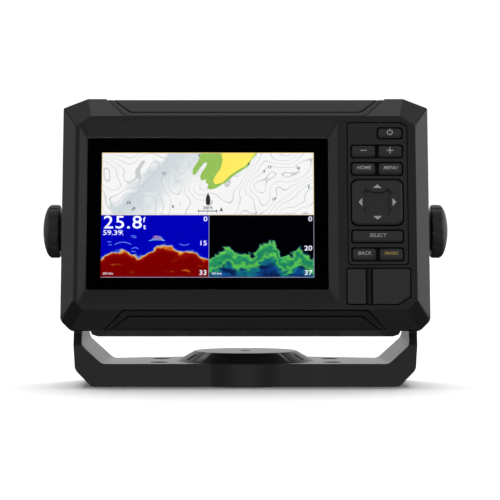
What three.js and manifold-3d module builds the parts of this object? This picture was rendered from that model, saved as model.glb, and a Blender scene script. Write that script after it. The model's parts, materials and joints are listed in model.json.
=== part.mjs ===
// Fish finder: a display head that tilts between the arms of a bail bracket, which swivels on a round base.
// Millimetres, +Z up, -Y towards the user. The origin is on the swivel axis, on the underside of the base.
// The head is drawn lying flat: x to the right, y up the screen, z out of the screen, from its tilt axis.
import * as THREE from "three";
import { mergeVertices } from "three/addons/utils/BufferGeometryUtils.js";
import { ConvexGeometry } from "three/addons/geometries/ConvexGeometry.js";
import Module from "manifold-3d";

const wasm = await Module();
wasm.setup();

// ---- Driving dimensions ----
const gap = 0.3; // between pieces that rest on each other
const cutPast = 1; // how far a cutter runs past the face it opens

// Tilt axis and lean of the head
const tiltAxisHeight = 79;
const tiltAxisForward = 5; // the axis lies this far in front of the swivel axis
const leanBack = THREE.MathUtils.degToRad(11.5);

// Head casing
const bezelWidth = 187.4;
const bezelTop = 65.4; // above the tilt axis
const bezelBottom = 55.1; // below it
const bezelFront = 31; // height of the front ridge in front of the tilt axis
const slopeStart = 21; // where the bezel's sides begin to slope inwards
const partingFace = 19; // back face of the bezel
const sideSlope = 7.1; // how far the slope comes in, at each side
const topSlope = 11.6;
const bottomSlope = 8.8;
const flangeThickness = 2.3; // the rear housing's flange behind the bezel
const bezelPlateBack = 23.5; // inside face of the bezel's front plate
const bezelWall = 4.2;
const casingWall = 2.6;
const housingWidth = 160.6; // passes between the bracket's arms
const housingShoulder = -4; // where the full-height part of the housing ends
const housingCorner = 4;
const housingBack = -26;
const backBoxInset = 5.3; // the back box is narrower than the housing by this much on each side
const backBoxTop = 54;
const backBoxBottom = 43;
const backBoxTaper = 7;
const cornerRadius = 8;

// Window and display
const windowCentre = new THREE.Vector2(-19.2, 3.8);
const glassWidth = 123;
const glassHeight = 79.2;
const glassThickness = 1.8;
const glassDepth = 2.8; // the glass face lies this far below the front ridge
const glassGasket = 0.6;
const gasketReach = 1; // the gasket's opening is wider than the ledge's by this much
const glassLedge = 4; // width of the ledge under the glass
const sideRidge = 2.2; // width of the front ridge beside the window
const topRidge = 2.7;
const bottomRidge = 3.3;
const controlSide = 46.9; // left edge of the flat control panel
const displayGap = 0.8; // between the display and the ledge round it
const displayThickness = 2.4;
const backlightThickness = 2.5;
const backlightRim = 2.2; // the backlight tray reaches this far behind the ledge
const sheetMetal = 0.8;

// Controls
const panelMargin = 1.75; // of panel beside the keys
const panelOffset = 0.55; // extra margin on the right
const panelTop = 50;
const panelBottom = -23.2;
const panelThickness = 2;
const panelLedge = 1;
const keyHeightAbovePanel = 0.9;
const keyLip = 0.65; // retaining lip round a key's foot
const keyLipThickness = 0.5;
const keyClearance = 0.5;
const keyTravel = 0.6;
const keyRunout = 0.2; // left under a fully pressed key
const membraneThickness = 1;
const boardThickness = 1.6;
const keyColumn = 66.8; // centre line of the keypad
const keyGap = 1.2;
const keyWidth = 12.3;
const keyHeight = 6.3;
const padHeight = 23.2;
const padShort = 0.2; // the direction pad is narrower than a wide key by this much
const padHeightAbovePanel = 1.4;
const plungerDiameter = 9;

// Card door
const doorLeft = 51.3;
const doorRight = 83;
const doorTop = -25.4;
const doorBottom = -43.6;
const doorThickness = 2.3;
const doorHinge = 62.4; // the hinge line
const doorHingeDepth = 1.8; // the hinge line lies this far below the face
const doorHingeRadius = 1.5;
const slotWidth = 11.6;
const slotHeight = 1.6;

// Pivot, from the housing outwards
const pivotBossStandout = 0.9; // the boss stands this far out of the housing's side
const pivotWasher = 1.4;
const studDiameter = 8;
const insertDiameter = 12;
const insertLength = 11.5;
const studEndGap = 1; // from the stud's end to the bottom of the insert
const studHeadRadius = 6.5;
const studHeadLength = 4;
const armPadLength = 8.2; // through the arm's pad, from face to face
const armEndRadius = 16;
const armPadRim = 3; // of arm round the pad
const knobDiameter = 27.6;
const knobLength = 9;
const knobCollar = 2.8;
const knobCollarDiameter = 20;
const knobWasher = 1;
const gripScallops = 12;

// Bail bracket
const bracketClearance = 0.4; // under the bracket, so that it turns freely
const armThickness = 3.5; // at the arm's foot, on the front edge
const barTop = 11.7;
const barFront = 31.3;
const barBack = 23.5;
const barBackMiddle = 34.5;
const barCornerRise = 8.7; // height where the outer corner begins
const outerCornerRun = 8.3; // how far the outer corner runs in under the arm
const innerCornerRise = 21.2; // height where the inner corner ends
const innerCornerRun = 10.4; // how far the inner corner runs in from the arm
const armInset = 0.1; // the arm's inner face at its foot stands this far outside its pad's face
const armDraft = 2.8; // the inner faces come together by this much at the back
const armSplay = 0.057; // outward slope of the arms
const hubRadius = 35.8;
const hubTopRadius = 26.6;
const hubTop = 16.8;
const hubWall = 4.3;
const hubTopThickness = 3.8;
const mountHole = 9;
const mountHoleX = 44.5;
const mountHoleY = 15.7;

// Swivel
const baseThickness = 4.6;
const bossRadius = 9;
const swivelWasher = 1;
const swivelShank = 3.2;
const swivelHead = 5.2;
const swivelHeadHeight = 2;
const stopRadius = 26.5;
const stopWidth = 5;
const stopRibWidth = 3;
const swivelHalfRange = THREE.MathUtils.degToRad(45);
const stopSpare = THREE.MathUtils.degToRad(0.6);

// Boards, measured from the main board's left or right end and its height above the tilt axis
const boardGap = 1.3; // from the board's ends to the housing's walls
const boardTopGap = 6; // from the board to the top of the back box
const boardBottomGap = 3;
const postRadius = 2.6;
const shieldCan = { width: 44, height: 34, thickness: 4, inset: 46.4, y: 22 };
const heatSpreader = { width: 56, height: 44, thickness: 2 };
const gpsAntenna = { side: 25, thickness: 5, inset: 16.4, y: 30 };
const buzzerCan = { radius: 6, thickness: 5, inset: 42.4, y: 26 };
const sonarSize = new THREE.Vector2(84, 44);
const sonarCentre = new THREE.Vector2(0, 18);

// Pressure vent on the back
const ventInset = 25; // from the back box's side
const ventY = 32;
const ventRadius = 4.5;
const ventStem = 2;
const ventCap = 1.2;

// Housing screws
const screwShank = 2.8;
const screwHead = 5.6;
const screwHeadHeight = 2;
const screwRowInset = 4.6; // from the back box to the screws' rows
const screwSideInset = 12.3; // from the housing's side to the outer screws

// Sockets on the back
const transducerSocket = { x: 24, y: -20, outer: 24, bore: 17, pins: 6 };
const powerSocket = { x: -22, y: -20, outer: 19, bore: 13, pins: 4 };
const socketStandout = 7;
const socketDepth = 11;
const socketFlange = 2;
const socketFloor = 2; // thickness behind the pins
const socketPinRecess = 6.2; // the pins start this far inside the mouth

// ---- Sizes that follow from the ones above ----
const half = bezelWidth / 2;
const housingHalf = housingWidth / 2;
const backBoxWidth = housingWidth - 2 * backBoxInset;
const pivotFace = housingHalf + pivotBossStandout;
const armPadInner = pivotFace + pivotWasher + 2 * gap;
const armOuter = armPadInner + armPadLength;
const armInnerFront = armPadInner + armInset;
const barHalfWidth = armInnerFront + armThickness;
const barCornerWidth = barHalfWidth - outerCornerRun;
const innerCornerWidth = armInnerFront - innerCornerRun;
const washerInner = armOuter + gap;
const knobInner = washerInner + knobWasher + gap;
const knobFace = knobInner + knobCollar + knobLength;
const wideKey = 2 * keyWidth + keyGap;
const padSize = new THREE.Vector2(wideKey - padShort, padHeight);
const panelLeft = keyColumn - wideKey / 2 - panelMargin;
const panelRight = keyColumn + wideKey / 2 + panelMargin + panelOffset;

// ---- Finishes: colour, roughness, metalness ----
const finishes = {
  casing: [0x232426, 0.6, 0],
  trim: [0x1b1c1e, 0.55, 0],
  glass: [0x0a0b0d, 0.08, 0],
  display: [0x1d3b8f, 0.3, 0],
  rubber: [0x161616, 0.85, 0],
  keys: [0x2c2d30, 0.5, 0],
  bracket: [0x2a2b2d, 0.6, 0],
  steel: [0xb4b7ba, 0.3, 1],
  brass: [0xb08d3f, 0.35, 1],
  board: [0x1f5a34, 0.5, 0],
  nylon: [0xd8d4c8, 0.5, 0],
  ceramic: [0xbfae8c, 0.7, 0],
};

// ---- Shape helpers ----
function solid(geometry) {
  const plain = geometry.index ? geometry.toNonIndexed() : geometry.clone();
  const bare = new THREE.BufferGeometry().setAttribute("position", plain.getAttribute("position"));
  const merged = mergeVertices(bare, 1e-4);
  const corners = merged.index.array;
  const kept = [];
  for (let i = 0; i < corners.length; i += 3) {
    const [a, b, c] = [corners[i], corners[i + 1], corners[i + 2]];
    if (a !== b && b !== c && c !== a) kept.push(a, b, c);
  }
  return new wasm.Manifold(
    new wasm.Mesh({
      numProp: 3,
      vertProperties: merged.attributes.position.array,
      triVerts: new Uint32Array(kept),
    }),
  );
}

function piece(parent, name, shape, finish) {
  const { vertProperties, triVerts } = shape.getMesh();
  const geometry = new THREE.BufferGeometry();
  geometry.setAttribute("position", new THREE.BufferAttribute(vertProperties, 3));
  geometry.setIndex(new THREE.BufferAttribute(triVerts, 1));
  const [color, roughness, metalness] = finish;
  const mesh = new THREE.Mesh(geometry, new THREE.MeshStandardMaterial({ color, roughness, metalness }));
  mesh.name = name;
  parent.add(mesh);
  return mesh;
}

// A closed outline from corners [x, y, radius].
function outline(corners, steps = 4) {
  const points = corners.map(([x, y]) => new THREE.Vector2(x, y));
  const path = new THREE.Shape();
  corners.forEach(([, , radius], i) => {
    const here = points[i];
    const before = points[(i + points.length - 1) % points.length].clone().sub(here);
    const after = points[(i + 1) % points.length].clone().sub(here);
    const turn = Math.PI - before.angleTo(after);
    const reach = radius * Math.tan(turn / 2);
    const start = here.clone().add(before.setLength(reach));
    const end = here.clone().add(after.setLength(reach));
    if (i === 0) path.moveTo(start.x, start.y);
    else path.lineTo(start.x, start.y);
    if (radius > 0) path.quadraticCurveTo(here.x, here.y, end.x, end.y);
  });
  path.closePath();
  return new THREE.Shape(path.getPoints(steps));
}

function rectangle(left, right, bottom, top, radius = 0, steps = 2) {
  const corners = [
    [left, bottom, radius],
    [right, bottom, radius],
    [right, top, radius],
    [left, top, radius],
  ];
  return outline(corners, steps);
}

function centredRectangle(x, y, width, height, radius = 0, steps = 2) {
  return rectangle(x - width / 2, x + width / 2, y - height / 2, y + height / 2, radius, steps);
}

function plate(shape, low, high) {
  const geometry = new THREE.ExtrudeGeometry(shape, { depth: high - low, bevelEnabled: false });
  return solid(geometry.translate(0, 0, low));
}

// A solid that blends one convex outline into another at a different height.
function blend(...levels) {
  const points = levels.flatMap(([shape, height]) =>
    shape.getPoints().map(({ x, y }) => new THREE.Vector3(x, y, height)),
  );
  return solid(new ConvexGeometry(points));
}

function hull(points) {
  return solid(new ConvexGeometry(points.map(([x, y, z]) => new THREE.Vector3(x, y, z))));
}

function drum(radius, low, high, sides = 16) {
  const geometry = new THREE.CylinderGeometry(radius, radius, high - low, sides);
  return solid(geometry.rotateX(Math.PI / 2).translate(0, 0, (low + high) / 2));
}

// A drum whose axis runs along x; low and high are x values.
function axle(radius, low, high, y = 0, z = 0, sides = 16) {
  const geometry = new THREE.CylinderGeometry(radius, radius, Math.abs(high - low), sides);
  return solid(geometry.rotateZ(Math.PI / 2).translate((low + high) / 2, y, z));
}

function block(left, right, front, back, low, high) {
  const geometry = new THREE.BoxGeometry(right - left, back - front, high - low);
  return solid(geometry.translate((left + right) / 2, (front + back) / 2, (low + high) / 2));
}

function tube(outer, inner, low, high, sides = 16) {
  return drum(outer, low, high, sides).subtract(drum(inner, low - cutPast, high + cutPast, sides));
}

// ---- Groups ----
const fishFinder = new THREE.Group();
const mount = new THREE.Group();
const head = new THREE.Group();
head.position.set(0, -tiltAxisForward, tiltAxisHeight);
head.rotation.x = Math.PI / 2 - leanBack;
fishFinder.add(mount, head);

// ---- Swivel base, washer and screw ----
const hubCavityRadius = hubRadius - hubWall;
const hubUnderside = hubTop - hubTopThickness;
const bossTop = hubUnderside - swivelWasher - 2 * gap;
const stopTop = hubUnderside - 2 * gap;

function swivelBase() {
  const baseRadius = hubCavityRadius - gap;
  const boreFloor = bracketClearance + 2 * gap;
  const fixingHole = 2.3;
  const fixingRadius = 19;
  const fixings = 4;
  let base = drum(baseRadius, 0, baseThickness, 40);
  base = base.add(drum(bossRadius, baseThickness - cutPast, bossTop));
  base = base.subtract(drum(swivelShank / 2 + gap, boreFloor, bossTop + cutPast, 16));
  for (let i = 0; i < fixings; i += 1) {
    const angle = Math.PI / 4 + (i * 2 * Math.PI) / fixings;
    const hole = drum(fixingHole, -cutPast, baseThickness + cutPast, 16);
    base = base.subtract(hole.translate([fixingRadius * Math.cos(angle), fixingRadius * Math.sin(angle), 0]));
  }
  const half = stopWidth / 2;
  const stop = block(-half, half, stopRadius - half, stopRadius + half, baseThickness - cutPast, stopTop);
  return base.add(stop);
}

// The bracket: a flat bar with a round hub, two flared corners and two arms that narrow to round ends.
function barSolid() {
  const corners = [
    [-innerCornerWidth, -barFront, 0],
    [innerCornerWidth, -barFront, 0],
    [innerCornerWidth, barBack, 0],
    [hubRadius, barBackMiddle, 0],
    [-hubRadius, barBackMiddle, 0],
    [-innerCornerWidth, barBack, 0],
  ];
  return plate(outline(corners), bracketClearance, barTop);
}

function armSolid(side) {
  const outerAt = (z) => barHalfWidth + armSplay * (z - barTop);
  const innerAt = (y, z) => {
    const share = (y + barFront) / (barFront + barBack);
    return armInnerFront - armDraft * share + armSplay * (z - innerCornerRise);
  };
  const cornerShare = 0.5;
  const corner = [];
  const lowerArm = [];
  for (const y of [-barFront, barBack]) {
    const draft = y > 0 ? armDraft : 0;
    corner.push([side * barCornerWidth, y, bracketClearance]);
    corner.push([side * (innerCornerWidth - draft), y, bracketClearance]);
    corner.push([side * (innerCornerWidth - draft), y, barTop]);
    corner.push([side * outerAt(barCornerRise), y, barCornerRise]);
    for (const points of [corner, lowerArm]) {
      points.push([side * outerAt(innerCornerRise), y, innerCornerRise]);
      points.push([side * innerAt(y, innerCornerRise), y, innerCornerRise]);
    }
  }
  // Above the flared foot the arm's edges run up to the round end.
  const neckHeight = innerCornerRise + cornerShare * barTop;
  const neckFront = -(tiltAxisForward + armEndRadius) - armEndRadius / 4;
  const neckBack = armEndRadius - tiltAxisForward + armEndRadius / 4;
  const upperArm = [];
  for (const y of [neckFront, neckBack]) {
    for (const points of [lowerArm, upperArm]) {
      points.push([side * outerAt(neckHeight), y, neckHeight]);
      points.push([side * innerAt(y, neckHeight), y, neckHeight]);
    }
  }
  const steps = 12;
  for (let i = 0; i <= steps; i += 1) {
    const angle = (Math.PI * i) / steps;
    const y = -tiltAxisForward + armEndRadius * Math.cos(angle);
    const z = tiltAxisHeight + armEndRadius * Math.sin(angle);
    upperArm.push([side * outerAt(z), y, z], [side * innerAt(y, z), y, z]);
  }
  const padRadius = armEndRadius - armPadRim;
  const pad = axle(padRadius, side * armPadInner, side * armOuter, -tiltAxisForward, tiltAxisHeight);
  const bore = axle(
    studDiameter / 2 + gap,
    side * (armPadInner - cutPast),
    side * (armOuter + cutPast),
    -tiltAxisForward,
    tiltAxisHeight,
  );
  return hull(corner).add(hull(lowerArm)).add(hull(upperArm)).add(pad).subtract(bore);
}

function bailBracket() {
  const hubSides = 40;
  const cone = new THREE.CylinderGeometry(hubTopRadius, hubRadius, hubTop - barTop, hubSides);
  cone.rotateX(Math.PI / 2).translate(0, 0, (barTop + hubTop) / 2);
  let bracket = barSolid()
    .add(drum(hubRadius, bracketClearance, barTop, hubSides))
    .add(solid(cone))
    .add(armSolid(-1))
    .add(armSolid(1))
    .subtract(drum(hubCavityRadius, bracketClearance - cutPast, hubUnderside, hubSides));
  for (const x of [-mountHoleX, mountHoleX]) {
    for (const y of [-mountHoleY, mountHoleY]) {
      const hole = drum(mountHole / 2, bracketClearance - cutPast, barTop + cutPast, 20);
      bracket = bracket.subtract(hole.translate([x, y, 0]));
    }
  }
  // Two ribs inside the hub meet the base's stop at the ends of the swivel.
  const stopHalfAngle = Math.atan(stopWidth / 2 / (stopRadius - stopWidth / 2));
  const ribHalfAngle = Math.atan(stopRibWidth / 2 / (stopRadius - stopWidth / 2));
  const ribAngle = swivelHalfRange + stopHalfAngle + ribHalfAngle + stopSpare;
  const ribInner = stopRadius - stopWidth / 2;
  for (const turn of [-ribAngle, ribAngle]) {
    const rib = block(
      -stopRibWidth / 2,
      stopRibWidth / 2,
      ribInner,
      hubCavityRadius + cutPast,
      baseThickness + 2 * gap,
      hubUnderside + cutPast,
    );
    bracket = bracket.add(rib.rotate([0, 0, THREE.MathUtils.radToDeg(turn)]));
  }
  // The centre screw's clearance hole and the recess for its head.
  const headFloor = hubTop - swivelHeadHeight - 2 * gap;
  bracket = bracket
    .subtract(drum(swivelShank / 2 + gap, hubUnderside - cutPast, hubTop + cutPast, 16))
    .subtract(drum(swivelHead / 2 + gap, headFloor, hubTop + cutPast, 20));
  return bracket.subtract(hubNotches());
}

// Short slots that run down the hub's cone.
function hubNotches() {
  const width = 1.6;
  const depth = 1;
  const below = THREE.MathUtils.degToRad(28);
  const slope = Math.atan2(hubTop - barTop, hubRadius - hubTopRadius);
  const length = 0.62 * Math.hypot(hubTop - barTop, hubRadius - hubTopRadius);
  const middle = (hubRadius + hubTopRadius) / 2;
  const cutters = [Math.PI + below, -below].map((angle) => {
    const cutter = new THREE.BoxGeometry(length, width, 2 * depth);
    cutter.rotateY(slope).translate(middle, 0, (hubTop + barTop) / 2);
    return solid(cutter.rotateZ(angle));
  });
  return cutters[0].add(cutters[1]);
}

function swivelScrew() {
  const headTop = hubTop - gap;
  const engagement = 5; // of thread in the base's boss
  const shankEnd = bossTop - engagement;
  const drive = 1.2;
  return drum(swivelShank / 2, shankEnd, headTop - swivelHeadHeight + gap, 16)
    .add(drum(swivelHead / 2, headTop - swivelHeadHeight, headTop, 20))
    .subtract(drum(drive, headTop - drive, headTop + cutPast, 6));
}

piece(mount, "swivel_base", swivelBase(), finishes.bracket);
piece(mount, "bail_bracket", bailBracket(), finishes.bracket);
piece(
  mount,
  "swivel_washer",
  tube(bossRadius, swivelShank / 2 + gap, bossTop + gap, bossTop + gap + swivelWasher),
  finishes.nylon,
);
piece(mount, "swivel_screw", swivelScrew(), finishes.steel);

// ---- Head casing ----
const topChamfer = new THREE.Vector2(12.5, 5);
const bottomCorner = 5;
const flangeBack = partingFace - gap - flangeThickness;

// The casing's outline, brought in by the same amount all round.
function casingOutline(inset) {
  const side = half - inset;
  const top = bezelTop - inset;
  const bottom = -bezelBottom + inset;
  const corners = [
    [-side + bottomCorner, bottom, 0],
    [side - bottomCorner, bottom, bottomCorner / 2],
    [side, bottom + bottomCorner, bottomCorner / 2],
    [side, top - topChamfer.y, 1],
    [side - topChamfer.x, top, 1],
    [-side + topChamfer.x, top, 1],
    [-side, top - topChamfer.y, 1],
    [-side, bottom + bottomCorner, bottomCorner / 2],
  ];
  corners[0][2] = bottomCorner / 2;
  return outline(corners, 2);
}

// The front ridge's outer outline.
function ridgeOutline(inset) {
  const side = half - sideSlope - inset;
  const top = bezelTop - topSlope - inset;
  const bottom = -bezelBottom + bottomSlope + inset;
  const corner = 5;
  const topCorner = 8;
  const corners = [
    [-side + corner, bottom, 1],
    [side - corner, bottom, 1],
    [side, bottom + corner, 1],
    [side, top - corner, 1],
    [side - topCorner, top, 1],
    [-side + topCorner, top, 1],
    [-side, top - corner, 1],
    [-side, bottom + corner, 1],
  ];
  return outline(corners, 2);
}

// The bezel's outer form, brought in by the same amount on every sloped face.
function bezelForm(inset) {
  return blend(
    [casingOutline(inset), partingFace],
    [casingOutline(inset), slopeStart],
    [ridgeOutline(inset), bezelFront - inset],
  );
}

// Trapezium-shaped inlays in the middle of the top and bottom faces.
const inlayWide = 71.4; // half width at the casing's edge
const inlayNarrow = 61.3; // half width at the front ridge
const inlaySink = 0.5;
const inlayThickness = 1.6;
const inlayMargin = 0.4; // stays this far from the front ridge

function inlayPrism(edge, slope, direction, grow) {
  const ridge = direction * (edge - slope + inlayMargin - grow);
  const rim = direction * (edge + cutPast);
  const widen = ((inlayWide - inlayNarrow) * cutPast) / slope;
  const corners = [
    [-inlayNarrow - grow, ridge, 0],
    [inlayNarrow + grow, ridge, 0],
    [inlayWide + widen + grow, rim, 0],
    [-inlayWide - widen - grow, rim, 0],
  ];
  return plate(outline(corners), partingFace - cutPast, bezelFront + cutPast);
}

function inlay(edge, slope, direction) {
  return inlayPrism(edge, slope, direction, 0)
    .intersect(bezelForm(inlaySink))
    .subtract(bezelForm(inlaySink + inlayThickness));
}

const inlays = [
  ["top_trim", bezelTop, topSlope, 1],
  ["bottom_trim", bezelBottom, bottomSlope, -1],
];

// Levels of the window stack, from the front ridge back.
const glassFace = bezelFront - glassDepth;
const glassBack = glassFace - glassThickness;
const ledgeFace = glassBack - glassGasket - 2 * gap;
const displayFace = glassBack - gap;
const backlightFace = bezelPlateBack - gap;
const backlightBack = backlightFace - backlightThickness;
const ledgeWidth = glassWidth - 2 * glassLedge;
const ledgeHeight = glassHeight - 2 * glassLedge;

function windowRectangle(width, height, radius) {
  return centredRectangle(windowCentre.x, windowCentre.y, width, height, radius);
}

function windowCut() {
  const chamfer = 1.5;
  const topLeftChamfer = 4.5;
  const slopeTop = outline(
    [
      [-half + sideSlope + sideRidge, -bezelBottom + bottomSlope + bottomRidge, chamfer],
      [controlSide, -bezelBottom + bottomSlope + bottomRidge, chamfer],
      [controlSide, bezelTop - topSlope - topRidge, chamfer],
      [-half + sideSlope + sideRidge, bezelTop - topSlope - topRidge, topLeftChamfer],
    ],
    2,
  );
  const mouth = blend([windowRectangle(glassWidth, glassHeight, chamfer), glassFace], [slopeTop, bezelFront]);
  const over = plate(slopeTop, bezelFront - gap / 10, bezelFront + cutPast);
  const pocket = plate(
    windowRectangle(glassWidth + 2 * gap, glassHeight + 2 * gap, chamfer),
    ledgeFace,
    glassFace,
  );
  const through = plate(windowRectangle(ledgeWidth, ledgeHeight, 1), partingFace - cutPast, glassFace);
  return mouth.add(over).add(pocket).add(through);
}

// Levels of the control stack.
const panelBack = bezelFront - panelThickness;
const panelFloor = panelBack - gap;
const keyFoot = panelBack - gap - keyLipThickness;
const membraneFace = keyFoot - keyTravel - keyRunout;
const membraneBack = membraneFace - membraneThickness;
const keyBoardFace = membraneBack - gap;

function panelOutline(inset) {
  const corners = [
    [panelLeft + inset, panelBottom + inset, 2],
    [panelRight - inset, panelBottom + inset, 2],
    [panelRight - inset, panelTop - 2 - inset, 0],
    [panelRight - 3.2 - inset, panelTop - inset, 0],
    [panelLeft + inset, panelTop - inset, 1],
  ];
  return outline(corners, 3);
}

function doorOutline(left, right, grow) {
  const chamferWidth = 6.2;
  const chamferHeight = 4;
  const rounded = left < doorHinge ? 1.6 : 0;
  const square = right < doorHinge;
  const corners = [
    [left - grow, doorBottom - grow, rounded],
    [right + grow - (square ? 0 : chamferWidth), doorBottom - grow, 0],
    [right + grow, doorBottom - grow + (square ? 0 : chamferHeight), 0],
    [right + grow, doorTop + grow, square ? 0 : 0.8],
    [left - grow, doorTop + grow, rounded],
  ];
  if (square) corners.splice(2, 1);
  return outline(corners, 3);
}

const doorBack = bezelFront - doorThickness;
const doorFloor = doorBack - gap;
const hingeLevel = bezelFront - doorHingeDepth;
const socketCentre = new THREE.Vector2(73.4, -33.6);
const socketFace = new THREE.Vector2(14.6, 8.4);
const sealWidth = 1;

function cardSocketRectangle(grow) {
  return centredRectangle(
    socketCentre.x,
    socketCentre.y,
    socketFace.x + 2 * grow,
    socketFace.y + 2 * grow,
    1,
    3,
  );
}

function hingeLine(radius) {
  const geometry = new THREE.CylinderGeometry(radius, radius, doorTop - doorBottom - 2 * gap, 16);
  return solid(geometry.translate(doorHinge, (doorTop + doorBottom) / 2, hingeLevel));
}

function controlCuts() {
  const panelPocket = plate(panelOutline(-gap), panelFloor, bezelFront + cutPast);
  const panelThrough = plate(panelOutline(panelLedge), partingFace - cutPast, panelFloor + cutPast);
  const doorPocket = plate(doorOutline(doorLeft, doorRight, gap), doorFloor, bezelFront + cutPast);
  const socketThrough = plate(cardSocketRectangle(gap), partingFace - cutPast, doorFloor + cutPast);
  const sealGroove = plate(
    cardSocketRectangle(gap + 2 * sealWidth),
    doorFloor - sealWidth,
    doorFloor + cutPast,
  );
  return panelPocket
    .add(panelThrough)
    .add(doorPocket)
    .add(socketThrough)
    .add(sealGroove)
    .add(hingeLine(doorHingeRadius + gap));
}

// Screws through the housing's shoulder reach into bosses behind the bezel.
const screwColumns = { left: screwSideInset - housingHalf, middle: 0, right: housingHalf - screwSideInset };
const screwPlaces = Object.entries(screwColumns).flatMap(([column, x]) => [
  { name: `housing_screw_top_${column}`, x, y: backBoxTop + screwRowInset },
  { name: `housing_screw_bottom_${column}`, x, y: -backBoxBottom - screwRowInset },
]);
const screwBossRadius = 3.6;
const screwPostRadius = 4.2;
const screwTip = bezelPlateBack - gap;

function frontBezel() {
  const cavity = plate(
    rectangle(
      -half + bezelWall,
      half - bezelWall,
      -bezelBottom + bezelWall,
      bezelTop - bezelWall - 1,
      cornerRadius,
    ),
    partingFace - cutPast,
    bezelPlateBack,
  );
  let bezel = bezelForm(0).subtract(cavity);
  for (const { x, y } of screwPlaces) {
    const boss = drum(screwBossRadius, partingFace, bezelPlateBack + cutPast, 16);
    bezel = bezel.add(boss.translate([x, y, 0]));
  }
  bezel = bezel.subtract(windowCut()).subtract(controlCuts());
  for (const [, edge, slope, direction] of inlays) {
    const recess = inlayPrism(edge, slope, direction, gap);
    bezel = bezel.subtract(recess.subtract(bezelForm(inlaySink + inlayThickness + gap)));
  }
  for (const { x, y } of screwPlaces) {
    const bore = drum(screwShank / 2 + gap, partingFace - cutPast, screwTip + gap, 12);
    bezel = bezel.subtract(bore.translate([x, y, 0]));
  }
  return bezel;
}

// ---- Rear housing ----
function backBox(inset, front, back) {
  const width = backBoxWidth - 2 * inset;
  const mouth = rectangle(-width / 2, width / 2, -backBoxBottom + inset, backBoxTop - inset, cornerRadius);
  const taper = backBoxTaper + inset;
  const floor = rectangle(
    -backBoxWidth / 2 + taper,
    backBoxWidth / 2 - taper,
    -backBoxBottom + taper,
    backBoxTop - taper,
    cornerRadius,
  );
  return blend([mouth, front], [floor, back]);
}

const gasketInset = 1.6;
const gasketWidth = 1.2;
const gasketDepth = 1.1;
const housingStep = 0.5; // the housing stands this far inside the bezel above and below
const housingBottom = housingStep - bezelBottom;
const housingTop = bezelTop - housingStep;
const shoulderFloor = housingShoulder + casingWall;
const backFloor = housingBack + casingWall;
const boardFace = 13.6;
const boardBack = boardFace - boardThickness;
const boardHalf = housingHalf - casingWall - boardGap;
const boardTop = backBoxTop - boardTopGap;
const boardBottom = boardBottomGap - backBoxBottom;
const boardPostInset = postRadius + gap;
const boardPosts = [-1, 1].flatMap((side) => [
  [side * (boardHalf - boardPostInset), boardTop - boardPostInset - 1],
  [side * (boardHalf - boardPostInset), boardBottom + boardPostInset + 1],
]);
const sonarFace = -10;
const sonarBack = sonarFace - boardThickness;
const pivotBossRadius = 10;
const pivotPadRadius = 13;
const insertEnd = pivotFace - gap - insertLength;
const ventPlace = new THREE.Vector2(backBoxWidth / 2 - ventInset, ventY);
const sockets = { transducer_socket: transducerSocket, power_socket: powerSocket };

function gasketRing(low, high, spare) {
  const outside = plate(casingOutline(gasketInset - spare), low, high);
  const inside = plate(casingOutline(gasketInset + gasketWidth + spare), low - cutPast, high + cutPast);
  return outside.subtract(inside);
}

function rearHousing() {
  const flangeStep = 0.15; // the flange stands this far inside the bezel's edge
  const flange = plate(casingOutline(flangeStep), flangeBack, partingFace - gap);
  const body = plate(
    rectangle(-housingHalf, housingHalf, housingBottom, housingTop, housingCorner),
    housingShoulder,
    flangeBack + cutPast,
  );
  let housing = flange.add(body).add(backBox(0, shoulderFloor, housingBack));
  housing = housing.subtract(
    plate(
      rectangle(
        -housingHalf + casingWall,
        housingHalf - casingWall,
        housingBottom + casingWall,
        housingTop - casingWall,
        housingCorner - casingWall,
      ),
      shoulderFloor,
      partingFace + cutPast,
    ),
  );
  housing = housing.subtract(backBox(casingWall, shoulderFloor + cutPast / 10, backFloor));
  // Posts for the main board, the sonar board and the housing screws.
  for (const [x, y] of boardPosts) {
    const post = drum(postRadius, shoulderFloor - casingWall / 2, boardBack - gap, 12);
    housing = housing.add(post.translate([x, y, 0]));
  }
  for (const side of [-1, 1]) {
    for (const end of [-1, 1]) {
      const post = drum(postRadius, backFloor - cutPast, sonarBack - gap, 12);
      const x = sonarCentre.x + side * (sonarSize.x / 2 - boardPostInset - 1);
      const y = sonarCentre.y + end * (sonarSize.y / 2 - boardPostInset - 1);
      housing = housing.add(post.translate([x, y, 0]));
    }
  }
  for (const { x, y } of screwPlaces) {
    housing = housing.add(
      drum(screwPostRadius, shoulderFloor - cutPast, partingFace - gap, 16).translate([x, y, 0]),
    );
  }
  for (const { x, y } of screwPlaces) {
    const bore = drum(screwShank / 2 + gap, housingShoulder - cutPast, partingFace + cutPast, 12);
    const recessFloor = housingShoulder + screwHeadHeight + gap;
    const recess = drum(screwHead / 2 + gap, housingShoulder - cutPast, recessFloor, 16);
    housing = housing.subtract(bore.add(recess).translate([x, y, 0]));
  }
  // Pivot bosses with blind bores for the threaded inserts.
  for (const side of [-1, 1]) {
    const boss = axle(pivotBossRadius, side * (insertEnd - gap - casingWall), side * pivotFace);
    const pad = axle(pivotPadRadius, side * (housingHalf - casingWall), side * pivotFace, 0, 0, 24);
    const bore = axle(insertDiameter / 2 + gap, side * (insertEnd - gap), side * (pivotFace + cutPast));
    housing = housing.add(boss).add(pad).subtract(bore);
  }
  for (const { x, y, outer } of Object.values(sockets)) {
    const hole = drum(outer / 2 - socketFlange + gap, housingBack - cutPast, backFloor + cutPast);
    housing = housing.subtract(hole.translate([x, y, 0]));
  }
  const ventHole = drum(ventStem + gap, housingBack - cutPast, backFloor + cutPast, 12);
  housing = housing.subtract(ventHole.translate([ventPlace.x, ventPlace.y, 0]));
  return housing.subtract(gasketRing(partingFace - gap - gasketDepth - gap, partingFace, gap));
}

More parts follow.
